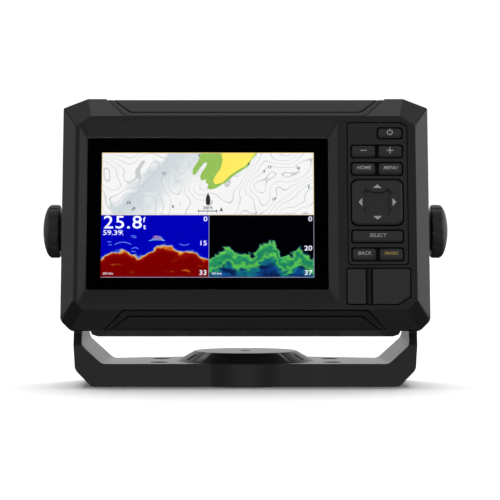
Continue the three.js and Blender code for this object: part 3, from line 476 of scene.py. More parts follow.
def ridgeOutline(inset):
    side, top = b["halfWidth"] - b["sideSlope"] - inset, b["top"] - b["topSlope"] - inset
    bottom, corner, topCorner = b["bottom"] + b["bottomSlope"] + inset, b["ridgeCorner"], b["ridgeTopCorner"]
    return roundedOutline([
        (-side + corner, bottom, 1), (side - corner, bottom, 1), (side, bottom + corner, 1),
        (side, top - corner, 1), (side - topCorner, top, 1),
        (-side + topCorner, top, 1), (-side, top - corner, 1), (-side, bottom + corner, 1),
    ])


def bezelForm(name, inset):
    return loft(
        name, (casingOutline(inset), b["back"]), (casingOutline(inset), b["slopeStart"]),
        (ridgeOutline(inset), b["front"] - inset),
    )


def inlayPrism(name, edge, slope, grow):  # a trapezium with bent corners, open towards the casing's edge
    sizes = inlaySizes
    side = 1 if edge > 0 else -1
    ridge, rim = edge - side * (slope - sizes["margin"] + grow), edge + side * 2
    widen = (sizes["wide"] - sizes["narrow"]) * 2 / slope
    narrow, wide = sizes["narrow"] + grow, sizes["wide"] + widen + grow
    corners = [(-narrow, ridge, sizes["bend"]), (narrow, ridge, sizes["bend"]), (wide, rim, 0), (-wide, rim, 0)]
    return plate(name, roundedOutline(corners if edge > 0 else corners[::-1]), b["back"] - 1, b["front"] + 1)


inlayEdges = {
    "top_trim": (b["top"], b["topSlope"]),
    "bottom_trim": (b["bottom"], b["bottomSlope"]),
}


def windowCutters(glassLow, glassHigh):
    (left, bottom), (right, top) = b["window"]
    corner = b["mouthCorner"]
    mouth = roundedOutline([
        (left, bottom, corner), (right, bottom, corner), (right, top, corner), (left, top, b["mouthTopLeft"]),
    ])
    glass = rectangle(glassLow, glassHigh, corner)
    spare = Vector((0.3, 0.3, 0))
    pocket = rectangle(glassLow - spare, glassHigh + spare, corner)
    ledge = Vector((4, 4, 0))
    slope = loft("mouth", (glass, glassHigh[2] - 0.01), (mouth, b["front"]), (mouth, b["front"] + 2))
    return [
        slope,
        plate("pocket", pocket, glassLow[2] - 1.2, glassHigh[2]),
        plate("through", rectangle(glassLow + ledge, glassHigh - ledge, 1), b["back"] - 1, glassHigh[2]),
    ]


panelSizes = {"corner": 2.0, "chamfer": (3.2, 2.0), "ledge": 1.0, "gap": 0.55, "edge": 0.3}
doorSizes = {"corner": 1.6, "chamfer": (6.2, 4.0), "gap": 0.55, "edge": 0.75}
panelLow, panelHigh = localBox("keypad_panel")
leafLow, leafHigh = localBox("card_door")
anchorLow, anchorHigh = localBox("card_door_anchor")
cardLow, cardHigh = localBox("card_socket")


def panelOutline(inset):
    across, down = panelSizes["chamfer"]
    left, right = panelLow.x + inset, panelHigh.x - inset
    bottom, top, corner = panelLow.y + inset, panelHigh.y - inset, panelSizes["corner"]
    return roundedOutline([
        (left, bottom, corner), (right, bottom, corner), (right, top - down, 0.6),
        (right - across, top, 0.6), (left, top, 1),
    ])


def doorOutline(left, right, grow=0.0):
    across, up = doorSizes["chamfer"]
    bottom, top, corner = leafLow.y - grow, leafHigh.y + grow, doorSizes["corner"]
    return roundedOutline([
        (left - grow, bottom, corner), (right + grow - across, bottom, 0.6), (right + grow, bottom + up, 0.6),
        (right + grow, top, 0.8), (left - grow, top, corner),
    ])


def controlCutters():
    gap = Vector((0.3, 0.3, 0))
    seal = Vector((2.3, 2.3, 0))
    front = b["front"] + 1
    return [
        plate("pocket", panelOutline(-panelSizes["gap"]), panelLow.z - 0.3, front),
        plate("through", panelOutline(panelSizes["ledge"]), b["back"] - 1, panelLow.z),
        plate("doorway", doorOutline(anchorLow.x, leafHigh.x, doorSizes["gap"]), leafLow.z - 0.3, front),
        plate("slot", rectangle(cardLow - gap, cardHigh + gap, 1), b["back"] - 1, leafLow.z),
        plate("groove", rectangle(cardLow - seal, cardHigh + seal, 1), leafLow.z - 1.3, leafLow.z),
    ]


def makeBezel():
    glassLow, glassHigh = localBox("lens_glass")
    wall, top = b["wall"], b["top"] - 1
    cavityLow, cavityHigh = (wall - b["halfWidth"], wall + b["bottom"]), (b["halfWidth"] - wall, top - wall)
    bezel = bezelForm("bezel", 0)
    cut(bezel, plate("cavity", rectangle(cavityLow, cavityHigh, 8), b["back"] - 1, b["plateBack"]))
    cut(bezel, *windowCutters(glassLow, glassHigh), *controlCutters())
    floor = inlaySizes["sink"] + inlaySizes["thickness"] + 0.3
    for name, (edge, slope) in inlayEdges.items():
        recess = inlayPrism("recess", edge, slope, inlaySizes["gap"])
        cut(recess, bezelForm("core", floor))
        cut(bezel, recess)
    soften(bezel, b["edge"], 2, 18)
    install(bezel, headPlace, "head", "casing", casingFinish, "front_bezel")


def makeInlay(name):  # a sunk strip with a groove that runs along its ridge side and both ends
    edge, slope = inlayEdges[name]
    sizes = inlaySizes
    inlay = inlayPrism(name.replace("trim", "inlay"), edge, slope, 0)
    cut(inlay, bezelForm("skin", sizes["sink"]), operation="INTERSECT")
    cut(inlay, bezelForm("core", sizes["sink"] + sizes["thickness"]))
    groove = inlayPrism("groove", edge, slope, -sizes["grooveInset"])
    cut(groove, inlayPrism("inside", edge, slope, -sizes["grooveInset"] - sizes["grooveWidth"]))
    cut(groove, bezelForm("core", sizes["sink"] + sizes["grooveDepth"]))
    cut(inlay, groove)
    soften(inlay, 0.18, 2, 25)
    install(inlay, headPlace, "head", "trim", trimFinish, name)


makeBezel()
for inlayName in inlayEdges:
    makeInlay(inlayName)
print("bezel and inlays ready")


# ---- rear housing ----

def makeHousing():
    housing = copyNode("rear_housing", "housing")
    soften(housing, 0.6, 3, 40)
    install(housing, headPlace, "head", "casing", casingFinish, "rear_housing", smooth=38)


makeHousing()
print("housing ready")


# ---- keypad panel, keys and direction pad ----

keySizes = {
    "lip": 0.65, "side": 0.2, "shoulder": 0.9, "corner": 1.2, "edge": 0.16,
    "crown": {"side": 0.7, "top": 0.55, "bottom": 1.3},  # the face sits high, over a sloping lower side
}
openingSizes = {"clear": 0.5, "corner": 1.4, "pad": 0.7, "padCorner": 3.6}
keyNames = ["power", "minus", "plus", "home", "menu", "select", "back", "mark"]
legendSizes = {
    "height": 1.75, "thickness": 0.05, "slant": 0.22, "weight": 0.022, "sink": 0.01,
    "ring": 1.3, "stroke": 0.42, "sign": 1.7,
}


def keyRectangle(low, high, inset, corner):
    return rectangle((low.x + inset, low.y + inset), (high.x - inset, high.y - inset), corner)


def keyFace(name):  # a key's outline without the lip that keeps it in
    low, high = localBox("key_" + name)
    lip = Vector((0, keySizes["lip"], 0))
    return low + lip, high - lip


def makePanel():
    panel = plate("keypad_surround", panelOutline(0), panelLow.z, panelHigh.z)
    rows = {}
    for name in keyNames:
        low, high = keyFace(name)
        row = rows.setdefault(round(low.y, 1), [low.copy(), high.copy()])
        row[0].x, row[1].x = min(row[0].x, low.x), max(row[1].x, high.x)
    padLow, padHigh = localBox("dpad")
    openings = [(low, high, openingSizes["clear"], openingSizes["corner"]) for low, high in rows.values()]
    openings.append((padLow, padHigh, openingSizes["pad"], openingSizes["padCorner"]))
    for low, high, clear, corner in openings:
        hole = rectangle((low.x - clear, low.y - clear), (high.x + clear, high.y + clear), corner)
        cut(panel, plate("opening", hole, panelLow.z - 1, panelHigh.z + 1))
    soften(panel, panelSizes["edge"], 2, 30)
    install(panel, headPlace, "head", "trim", panelFinish, "keypad_panel")


def makeKey(name):
    low, high = keyFace(name)
    shoulder, corner, crownInset = keySizes["shoulder"], keySizes["corner"], keySizes["crown"]
    base, waist = keyRectangle(low, high, 0, corner), keyRectangle(low, high, keySizes["side"], corner)
    crown = rectangle(
        (low.x + crownInset["side"], low.y + crownInset["bottom"]),
        (high.x - crownInset["side"], high.y - crownInset["top"]), corner * 0.7,
    )
    key = loft("cap_" + name, (base, low.z), (base, low.z + 1.2), (waist, high.z - shoulder), (crown, high.z))
    soften(key, keySizes["edge"], 3, 20)
    install(key, headPlace, "key_" + name, "keys", keyFinish, "key_" + name)


def keyLegend(name):
    low, high = keyFace(name)
    middle = (low + high) / 2
    size, top = legendSizes, high.z - legendSizes["sink"]
    x, y = middle.x, middle.y + (keySizes["crown"]["bottom"] - keySizes["crown"]["top"]) / 2
    if name == "power":
        turns = [math.radians(38 + 284 * step / 24) for step in range(25)]
        arc = [(x + math.sin(turn) * size["ring"], y + math.cos(turn) * size["ring"]) for turn in turns]
        bar = [(x, y + 0.3), (x, y + size["ring"] + 0.5)]
        marks = [stroke("icon", line, size["stroke"], top, top + size["thickness"]) for line in (arc, bar)]
    elif name in ("minus", "plus"):
        lines = [[(x - size["sign"], y), (x + size["sign"], y)]]
        if name == "plus":
            half = size["stroke"] / 2
            lines += [[(x, y + half), (x, y + size["sign"])], [(x, y - size["sign"]), (x, y - half)]]
        marks = [stroke("sign", line, size["stroke"], top, top + size["thickness"]) for line in lines]
    else:
        marks = [lettering(
            name, name.upper(), size["height"], x, y, top, size["thickness"],
            shear=size["slant"], offset=size["weight"], space_character=1.03,
        )]
    legend = merge("legend_" + name, marks)
    ink = markInk if name == "mark" else legendInk
    install(legend, headPlace, "key_" + name, "keys", ink)


padSizes = {
    "corner": 3.4, "shoulder": 0.9, "crown": 0.8, "dishDepth": 1.3, "dishSlope": 0.92,
    "dish": [  # one quarter of the dish: it reaches out between the arrows
        (6.1, 2.3), (7.4, 4.9), (5.6, 7.0), (2.7, 5.3),
    ],
    "arrow": 4.3, "arrowDepth": 1.9, "arrowReach": (8.6, 8.2),
}


def dishOutline(middle, share):
    quarter = padSizes["dish"]
    points = [(x, y) for x, y in quarter] + [(-x, y) for x, y in quarter[::-1]]
    points += [(-x, -y) for x, y in quarter] + [(x, -y) for x, y in quarter[::-1]]
    return roundedOutline([(middle.x + x * share, middle.y + y * share, 0.55 * share) for x, y in points], 3)


def makePad():
    low, high = localBox("dpad")
    middle, size = (low + high) / 2, padSizes
    base, crown = keyRectangle(low, high, 0, size["corner"]), keyRectangle(low, high, size["crown"], 2.8)
    pad = loft("direction_pad", (base, low.z), (base, high.z - size["shoulder"]), (crown, high.z))
    mouth, floor = dishOutline(middle, 1), dishOutline(middle, size["dishSlope"])
    cut(pad, loft("dish", (floor, high.z - size["dishDepth"]), (mouth, high.z), (mouth, high.z + 1)))
    soften(pad, 0.25, 3, 20)
    install(pad, headPlace, "dpad", "keys", keyFinish, "dpad")
    across, up = size["arrowReach"]
    arrows = []
    for x, y in ((0, up), (0, -up), (across, 0), (-across, 0)):
        ahead = Vector((x, y)).normalized()
        side = Vector((-ahead.y, ahead.x)) * size["arrow"] / 2
        tip = Vector((middle.x + x, middle.y + y)) + ahead * size["arrowDepth"] / 2
        tail = tip - ahead * size["arrowDepth"]
        top = high.z - legendSizes["sink"]
        arrows.append(plate("arrow", [tip, tail + side, tail - side], top, top + legendSizes["thickness"]))
    install(merge("direction_arrows", arrows), headPlace, "dpad", "keys", legendInk)


makePanel()
for keyName in keyNames:
    makeKey(keyName)
    keyLegend(keyName)
makePad()
print("keypad ready")


# ---- card door ----

def makeDoor():
    for node, name, body in (
        ("card_door", "card_door_leaf", "card_door"), ("card_door_anchor", "card_door_fixed_edge", "head"),
    ):
        low, high = localBox(node)
        outline = doorOutline(anchorLow.x, leafHigh.x)
        leaf = plate(name, outline, low.z, high.z)
        keep = block("keep", (low.x - 0.01, low.y - 1, low.z - 1), (high.x + 0.01, high.y + 1, high.z + 1))
        cut(leaf, keep, operation="INTERSECT")
        soften(leaf, doorSizes["edge"], 3, 30)
        install(leaf, headPlace, body, "door", doorFinish, node)
    # The strip's near-black finish is partly painted shade for the groove between the fixed edge and the leaf.
    strip = copyNode("card_door_hinge_strip", "card_door_band")
    soften(strip, 0.1, 2, 40)
    install(strip, headPlace, "head", "door", hingeGrooveShadeFinish, "card_door_hinge_strip")


makeDoor()
print("card door ready")


# ---- cover glass, printed border and display ----

def makeGlass():
    low, high = localBox("lens_glass")
    glass = plate("cover_glass", rectangle(low, high, 1.5), low.z, high.z)
    soften(glass, 0.12, 2, 30)
    # Chemically hardened cover glass: clear, polished, with sharp reflections.
    finish, tree, surface = newFinish(
        "hardened_cover_glass", Base_Color=(1, 1, 1, 1), IOR=1.5, Roughness=0.03, Transmission_Weight=1.0,
    )
    place = addNode(tree, "TexCoord").outputs["Object"]
    haze = addNode(tree, "TexNoise", {"Vector": place, "Scale": 1 / (15 * mm)})
    smear = addNode(tree, "MapRange", {"Value": haze.outputs["Fac"], "To Min": 0.01, "To Max": 0.05})
    tree.links.new(smear.outputs["Result"], surface.inputs["Roughness"])
    install(glass, headPlace, "head", "glass", finish, "lens_glass")
    glass.visible_shadow = False  # lamps light the display through it


screenSizes = {"width": 108.0, "height": 64.8, "layer": 0.03, "split": 32.6, "paneSplit": 54.7}
panelBox = localBox("lcd_panel")
screenMiddle = (panelBox[0] + panelBox[1]) / 2
screenLeft = screenMiddle.x - screenSizes["width"] / 2 + 0.05
screenTop = screenMiddle.y + screenSizes["height"] / 2 - 0.6
screenFace = panelBox[1].z


def screenPoint(across, down):
    return Vector((screenLeft + across, screenTop - down))


def screenLayer(layer):
    low = screenFace + layer * screenSizes["layer"]
    return low, low + screenSizes["layer"] * 0.8


def screenPlate(name, corners, layer):
    return plate(name, [screenPoint(*corner) for corner in corners], *screenLayer(layer))


def screenRectangle(name, left, top, right, bottom, layer):
    return screenPlate(name, [(left, top), (right, top), (right, bottom), (left, bottom)], layer)


def screenStroke(name, points, width, layer):
    return stroke(name, [screenPoint(*point) for point in points], width, *screenLayer(layer))


def screenText(text, height, across, down, layer, **settings):
    place = screenPoint(across, down)
    low, high = screenLayer(layer)
    return lettering("digits", text, height, place.x, place.y, low, high - low, **settings)


def screenAxes(tree):  # millimetres across and up from the screen's top left corner
    corner = headPlace @ Vector((screenLeft, screenTop, screenFace))
    place = addNode(tree, "TexCoord").outputs["Object"]
    flat = addNode(
        tree, "Mapping",
        {"Vector": place, "Location": corner, "Rotation": (math.radians(90 - leanBack), 0, 0),
         "Scale": (mm, mm, mm)},
        vector_type="TEXTURE",
    )
    return flat.outputs["Vector"]


def lightUp(tree, surface, colour):
    surface.inputs["Base Color"].default_value = linear("#060607")
    tree.links.new(colour, surface.inputs["Emission Color"])
    surface.inputs["Emission Strength"].default_value = screenGlow


screenGlow = 1.04


def chartFinish():
    # Lit pixels of a depth chart: white water with fine grey contour lines and pale blue shallows.
    finish, tree, surface = newFinish("chart_pixels", Specular_IOR_Level=0.0)
    flat = screenAxes(tree)
    axes = addNode(tree, "SeparateXYZ", {"Vector": flat})
    depth = addNode(tree, "TexNoise", {"Vector": flat, "Scale": 0.034, "Detail": 1.6, "Roughness": 0.5})
    steps = addNode(tree, "Math", {0: depth.outputs["Fac"], 1: 19.0}, operation="MULTIPLY")
    saw = addNode(tree, "Math", {0: steps.outputs[0]}, operation="FRACT")
    lines = addNode(tree, "ValToRGB", {"Fac": saw.outputs[0]}, stops=[
        (0.0, "#c8c9cc"), (0.04, "#cfd0d2"), (0.09, "#fafafa"), (0.94, "#fafafa"), (1.0, "#c8c9cc"),
    ])
    # The channel runs down to the left as a pale blue-grey band.
    slant = addNode(tree, "Math", {0: axes.outputs["X"], 1: axes.outputs["Y"]}, operation="SUBTRACT")
    wobble = addNode(tree, "TexNoise", {"Vector": flat, "Scale": 0.16, "Detail": 4.0})
    drift = addNode(
        tree, "Math", {0: wobble.outputs["Fac"], 1: 26.0, 2: slant.outputs[0]}, operation="MULTIPLY_ADD"
    )
    channel = addNode(tree, "MapRange", {
        "Value": drift.outputs[0], "From Min": 44.0, "From Max": 50.0, "To Min": 0.0, "To Max": 1.0,
    })
    far = addNode(tree, "MapRange", {
        "Value": drift.outputs[0], "From Min": 56.0, "From Max": 76.0, "To Min": 1.0, "To Max": 0.0,
    })
    band = addNode(tree, "Math", {0: channel.outputs[0], 1: far.outputs[0]}, operation="MULTIPLY")
    amount = addNode(tree, "Math", {0: band.outputs[0], 1: 0.85}, operation="MULTIPLY")
    shaded = addNode(
        tree, "MixRGB", {"Fac": amount.outputs[0], "Color1": lines.outputs["Color"], "Color2": linear("#ced8dd")},
    )
    lightUp(tree, surface, shaded.outputs["Color"])
    return finish


paneSizes = {"top": 32.9, "bottom": 64.4, "height": 31.5}


def sonarFinish(name, left, width, curve, stops, rough, reach, patches=None):
    # Lit pixels of a sonar trace: the bottom follows a curve with a ragged, speckled edge.
    finish, tree, surface = newFinish(name, Specular_IOR_Level=0.0)
    flat = screenAxes(tree)
    axes = addNode(tree, "SeparateXYZ", {"Vector": flat})
    along = addNode(
        tree, "MapRange", {"Value": axes.outputs["X"], "From Min": left, "From Max": left + width}
    )
    bottom = addNode(tree, "FloatCurve", {"Value": along.outputs["Result"]}, curve=curve)
    height = addNode(tree, "MapRange", {
        "Value": axes.outputs["Y"], "From Min": -paneSizes["bottom"], "From Max": -paneSizes["top"],
    })
    below = addNode(
        tree, "Math", {0: bottom.outputs["Value"], 1: height.outputs["Result"]}, operation="SUBTRACT"
    )
    columns = addNode(tree, "Mapping", {"Vector": flat, "Scale": (0.8, 1.0, 1.0)})
    ragged = addNode(
        tree, "TexNoise",
        {"Vector": columns.outputs["Vector"], "Scale": 0.32, "Detail": 6.0, "Roughness": 0.62},
    )
    shift = addNode(
        tree, "MapRange", {"Value": ragged.outputs["Fac"], "From Min": 0.3, "From Max": 0.7,
                           "To Min": -rough, "To Max": rough},
        clamp=False,
    )
    level = addNode(tree, "Math", {0: below.outputs[0], 1: shift.outputs["Result"]})
    scaled = addNode(
        tree, "MapRange", {"Value": level.outputs[0], "From Min": -reach * 0.15, "From Max": reach}
    )
    colour = addNode(tree, "ValToRGB", {"Fac": scaled.outputs["Result"]}, stops=stops).outputs["Color"]
    if patches:
        layers = addNode(tree, "Mapping", {"Vector": flat, "Scale": (0.4, 1.0, 1.0)})
        spots = addNode(
            tree, "TexNoise", {"Vector": layers.outputs["Vector"], "Scale": patches["scale"], "Detail": 7.0}
        )
        chosen = addNode(tree, "MapRange", {
            "Value": spots.outputs["Fac"], "From Min": patches["from"], "From Max": patches["to"],
        })
        inside = addNode(tree, "MapRange", {
            "Value": level.outputs[0], "From Min": patches["depth"], "From Max": patches["depth"] + 0.12,
        })
        amount = addNode(
            tree, "Math", {0: chosen.outputs["Result"], 1: inside.outputs["Result"]}, operation="MULTIPLY"
        )
        colour = addNode(
            tree, "MixRGB", {"Fac": amount.outputs[0], "Color1": colour, "Color2": linear(patches["colour"])}
        ).outputs["Color"]
    lightUp(tree, surface, colour)
    return finish


traditionalCurve = [
    (0.0, 0.29), (0.12, 0.41), (0.22, 0.42), (0.34, 0.33), (0.44, 0.4), (0.56, 0.5),
    (0.64, 0.49), (0.72, 0.4), (0.84, 0.43), (0.93, 0.33), (1.0, 0.3),
]
scanningCurve = [
    (0.0, 0.28), (0.1, 0.38), (0.19, 0.47), (0.24, 0.41), (0.34, 0.37), (0.42, 0.37), (0.5, 0.5),
    (0.57, 0.57), (0.63, 0.52), (0.7, 0.33), (0.78, 0.34), (0.86, 0.45), (0.92, 0.36), (1.0, 0.31),
]
traditionalStops = [
    (0.0, "#0000be"), (0.1, "#0000be"), (0.125, "#5b7fd8"), (0.15, "#e8d060"), (0.17, "#d86a1c"),
    (0.2, "#9a0c04"), (0.3, "#7e0000"), (1.0, "#7a0000"),
]
scanningStops = [
    (0.0, "#000002"), (0.1, "#010108"), (0.13, "#0d4a6a"), (0.17, "#6fd654"), (0.23, "#2fa45c"),
    (0.36, "#157a62"), (0.47, "#5fcf4c"), (0.54, "#17806e"), (0.72, "#0e4a92"), (1.0, "#081a50"),
]

landSizes = {
    "shore": [  # green foreshore, from the top left round the point to the top right
        (50.5, 0.2), (49.1, 4.2), (46.5, 8.3), (46.2, 11.0), (47.2, 11.9), (49.6, 8.7), (51.8, 5.6),
        (53.6, 5.0), (53.0, 7.4), (50.9, 10.2), (50.0, 12.8), (50.8, 14.6), (53.3, 14.0), (52.8, 15.6),
        (54.3, 16.6), (53.6, 18.5), (55.3, 19.4), (58.4, 18.5), (63.1, 15.6), (67.3, 12.1), (71.2, 9.5),
        (74.5, 7.2), (76.3, 3.8), (79.4, 0.2),
    ],
    "land": [
        (60.9, 0.2), (61.6, 4.2), (60.6, 8.3), (57.9, 12.1), (56.8, 14.7), (57.7, 16.6), (61.6, 15.6),
        (65.3, 11.9), (69.0, 9.3), (73.0, 7.1), (75.8, 3.8), (78.3, 0.2),
    ],
    "channelEdge": [(35.5, 1.0), (29.0, 8.5), (20.5, 17.5), (14.0, 25.0), (8.9, 31.2)],
    "boat": [(54.15, 21.0), (55.2, 23.4), (55.3, 26.4), (54.7, 27.5), (53.6, 27.5), (53.0, 26.4), (53.1, 23.4)],
    "north": [(60.9, 28.5), (61.8, 30.8), (60.9, 30.3), (60.0, 30.8)],
}


def makeDisplay():
    wide, tall, split = screenSizes["width"], screenSizes["height"], screenSizes["split"]
    middle = screenSizes["paneSplit"]
    panes = {
        "chart_pane": (screenRectangle("chart_pane", 0, 0, wide, split - 0.2, 0), chartFinish()),
        "sonar_pane": (
            screenRectangle("sonar_pane", 0, split, middle - 0.15, tall, 0),
            sonarFinish("sonar_pixels", 0, middle, traditionalCurve, traditionalStops, 0.045, 0.55, {
                "scale": 0.3, "from": 0.62, "to": 0.72, "depth": 0.12, "colour": "#d8701c",
            }),
        ),
        "scan_pane": (
            screenRectangle("scan_pane", middle + 0.15, split, wide, tall, 0),
            sonarFinish("scan_pixels", middle, wide - middle, scanningCurve, scanningStops, 0.09, 0.55, {
                "scale": 0.35, "from": 0.5, "to": 0.6, "depth": 0.16, "colour": "#0a1f50",
            }),
        ),
    }
    for pane, finish in panes.values():
        install(pane, headPlace, "head", "display", finish)
    inks = {
        "foreshore": ("#84aa50", [screenPlate("shore", landSizes["shore"], 1)]),
        "dry_land": ("#e0cf58", [screenPlate("land", landSizes["land"], 2)]),
        "chart_border": ("#d9b878", [
            screenStroke("edge", points, 0.3, 3) for points in (
                [(0, 0.15), (wide, 0.15)], [(0.15, 0.3), (0.15, split - 0.4)],
                [(wide - 0.15, 0.3), (wide - 0.15, split - 0.4)],
            )
        ]),
        "chart_foot": ("#cfc6b2", [screenStroke("foot", [(0, split - 0.25), (wide, split - 0.25)], 0.45, 3)]),
        "pane_border": ("#8c8fa8", [
            screenStroke("edge", points, 0.25, 1) for points in (
                [(middle, split), (middle, tall)], [(0, tall - 0.12), (wide, tall - 0.12)],
                [(wide - 0.12, split + 0.1), (wide - 0.12, tall - 0.25)],
            )
        ]),
        "chart_channel": ("#9aa2a8", [screenStroke("line", landSizes["channelEdge"], 0.2, 1)]),
        "chart_marks": ("#23252c", chartMarks()),
        "chart_beacon": ("#2f7a3d", [screenPlate("beacon", [(105.0, 18.8), (105.3, 16.8), (105.9, 16.8), (105.6, 18.8)], 1)]),
        "screen_digits": ("#e2e4f4", sonarDigits()),
        "fish_echoes": ("#6f96e6", echoArches(fishEchoes)),
        "bait_echoes": ("#6fb6d8", echoArches(baitEchoes)),
        "bait_core": ("#c4683a", echoArches(baitCore)),
    }
    for name, (colour, marks) in inks.items():
        install(merge(name, marks), headPlace, "head", "display", printedInk(name + "_pixels", colour, screenGlow, sheen=0.0))


def chartMarks():
    marks = [
        screenPlate("boat", landSizes["boat"], 3), screenPlate("north", landSizes["north"], 3),
        screenStroke("scale", [(49.4, 30.5), (58.6, 30.5)], 0.42, 3),
        screenStroke("tick", [(49.4, 29.8), (49.4, 31.2)], 0.42, 4),
        screenStroke("tick", [(58.6, 29.8), (58.6, 31.2)], 0.42, 4),
    ]
    soundings = [
        ("71", 31.9, 11.0, 45), ("76", 13.8, 26.3, 10), ("79", 16.5, 29.5, 50), ("8", 36.3, 28.2, 0),
        ("13", 85.4, 7.6, 0), ("9", 82.7, 10.0, 0), ("18", 99.9, 8.0, -30), ("14", 87.7, 24.3, 20),
        ("6", 49.6, 1.4, 0), ("6", 74.9, 5.9, 0), ("200 ft", 54.0, 28.9, 0),
    ]
    for text, across, down, turn in soundings:
        marks.append(screenText(text, 1.45, across, down, 3, turn=turn, offset=0.03))
    return marks


def sonarDigits():
    bold = {"offset": 0.05, "space_character": 1.1, "widen": 1.13}
    left = {"align": "LEFT"}
    lines = [
        ("25.8", 6.4, 1.0, 36.6, {**left, **bold}), ("f", 2.5, 21.2, 35.1, {**left, **bold}),
        ("t", 2.5, 21.3, 38.7, {**left, **bold}),
        ("59.39", 2.4, 0.8, 41.8, {**left, "offset": 0.012, "widen": 1.27}), ("f", 1.1, 10.6, 41.2, left),
        ("t", 1.1, 10.7, 42.6, left), ("200 kHz", 1.05, 1.0, 62.8, left), ("455 kHz", 1.05, 56.0, 62.8, left),
    ]
    lines += [(text, 2.4, x, y, {"offset": 0.02, "widen": 1.2}) for text, x, y in (
        ("0", 52.9, 34.7), ("15", 51.7, 47.2), ("33", 51.7, 62.4),
        ("0", 106.1, 34.7), ("20", 105.0, 49.8), ("37", 105.0, 62.4),
    )]
    return [screenText(text, height, x, y, 2, **settings) for text, height, x, y, settings in lines]


def echoArches(arches):
    marks = []
    for across, down, width, rise in arches:
        curve = [(across + width * (t / 8 - 0.5), down + rise * ((t / 4 - 1) ** 2)) for t in range(9)]
        marks.append(screenStroke("arch", curve, 0.22, 1))
    return marks


fishEchoes = [
    (11.2, 46.6, 8.4, 1.2), (17.3, 49.4, 3.4, 0.7), (16.4, 43.3, 2.6, 0.3), (42.2, 48.2, 5.0, -0.9),
    (4.2, 46.4, 2.0, 0.1), (17.0, 44.2, 1.8, 0.1), (16.6, 51.3, 2.0, 0.3), (4.6, 48.0, 1.6, 0.0),
]
baitEchoes = [(28.6, 44.6, 7.2, 1.2), (28.9, 43.6, 4.4, 0.9), (28.2, 45.4, 8.0, 0.5)]
baitCore = [(28.4, 44.0, 5.2, 1.0), (29.0, 45.0, 4.4, 0.5), (27.6, 43.3, 2.4, 0.5)]


def makeBorder():  # black ink printed on the back of the cover glass, round the lit area
    low, high = localBox("lens_glass")
    inset, level = Vector((0.4, 0.4, 0)), low.z - 0.16
    wide, tall = screenSizes["width"], screenSizes["height"]
    border = plate("printed_border", rectangle(low + inset, high - inset, 1.2), level, level + 0.1)
    start, end = screenPoint(-0.05, tall + 0.05), screenPoint(wide + 0.05, -0.05)
    cut(border, plate("window", rectangle(start, end), level - 1, level + 1))
    ink = printedInk("black_border_ink", "#050506", sheen=0.0)  # no air gap, so no sheen of its own
    install(border, headPlace, "head", "glass", ink)


makeGlass()
makeBorder()
makeDisplay()
print("glass and display ready")


# ---- knobs and pivot hardware ----

knobSizes = {
    "collar": 10.0, "wheel": 13.8, "collarLength": 2.8, "length": 11.8, "dome": 4.6,
    "scallops": 12, "scallopRadius": 3.0, "scallopDepth": 0.4, "edge": 0.3,
}


def makeKnob(where, side):
    size = knobSizes
    low, high = localBox("knob_" + where)
    inner = min(abs(low.x), abs(high.x))
    face = inner + size["length"]
    wheel, collar, dome = size["wheel"], size["collar"], size["dome"]
    step = inner + size["collarLength"]
    profile = [(0, inner), (collar - 0.3, inner), (collar, inner + 0.3), (collar, step - 0.3), (collar + 0.4, step),
               (wheel - 1.2, step), (wheel - 0.35, step + 0.35), (wheel, step + 1.2)]
    for turn in range(17):  # the grip runs into a domed face
        angle = math.pi / 2 * turn / 16
        profile.append((wheel * math.cos(angle), face - dome + dome * math.sin(angle)))
    knob = turned("clamp_knob_" + where, profile, sides=96)
    reach = wheel + size["scallopRadius"] - size["scallopDepth"]
    for turn in range(size["scallops"]):
        angle = math.tau * (turn + 0.5) / size["scallops"]
        x, y = reach * math.cos(angle), reach * math.sin(angle)
        cut(knob, drum("scallop", size["scallopRadius"], step - 0.5, face + 1, x, y, 40))
    cut(knob, drum("bore", 4.3, inner - 1, inner + 4.8))
    soften(knob, size["edge"], 2, 28)
    knob.data.transform(Matrix.Rotation(side * math.pi / 2, 4, "Y"))
    install(knob, headPlace, "knob_" + where, "knob", knobFinish, "knob_" + where)


def makeWasher(node, name, body, slot, finish):
    low, high = localBox(node)
    outer, side = (high.y - low.y) / 2, 1 if low.x > 0 else -1
    near, far = sorted((abs(low.x), abs(high.x)))
    washer = ring(name, outer, 4.3, near, far)
    washer.data.transform(Matrix.Rotation(side * math.pi / 2, 4, "Y"))
    install(washer, headPlace, body, slot, finish, node)


for where, side in (("left", -1), ("right", 1)):
    makeKnob(where, side)
    makeWasher("pivot_washer_" + where, "friction_washer_" + where, "head", "rubber", rubberFinish)
    makeWasher("knob_washer_" + where, "thrust_washer_" + where, "knob_" + where, "steel", steelFinish)
print("knobs ready")


# ---- sockets and vent on the back ----

socketSizes = {"rimWidth": 2.0, "flange": 2.0, "threads": 5, "threadDepth": 0.35, "floor": 11.0, "pinStart": 6.2, "stand": 6.7}


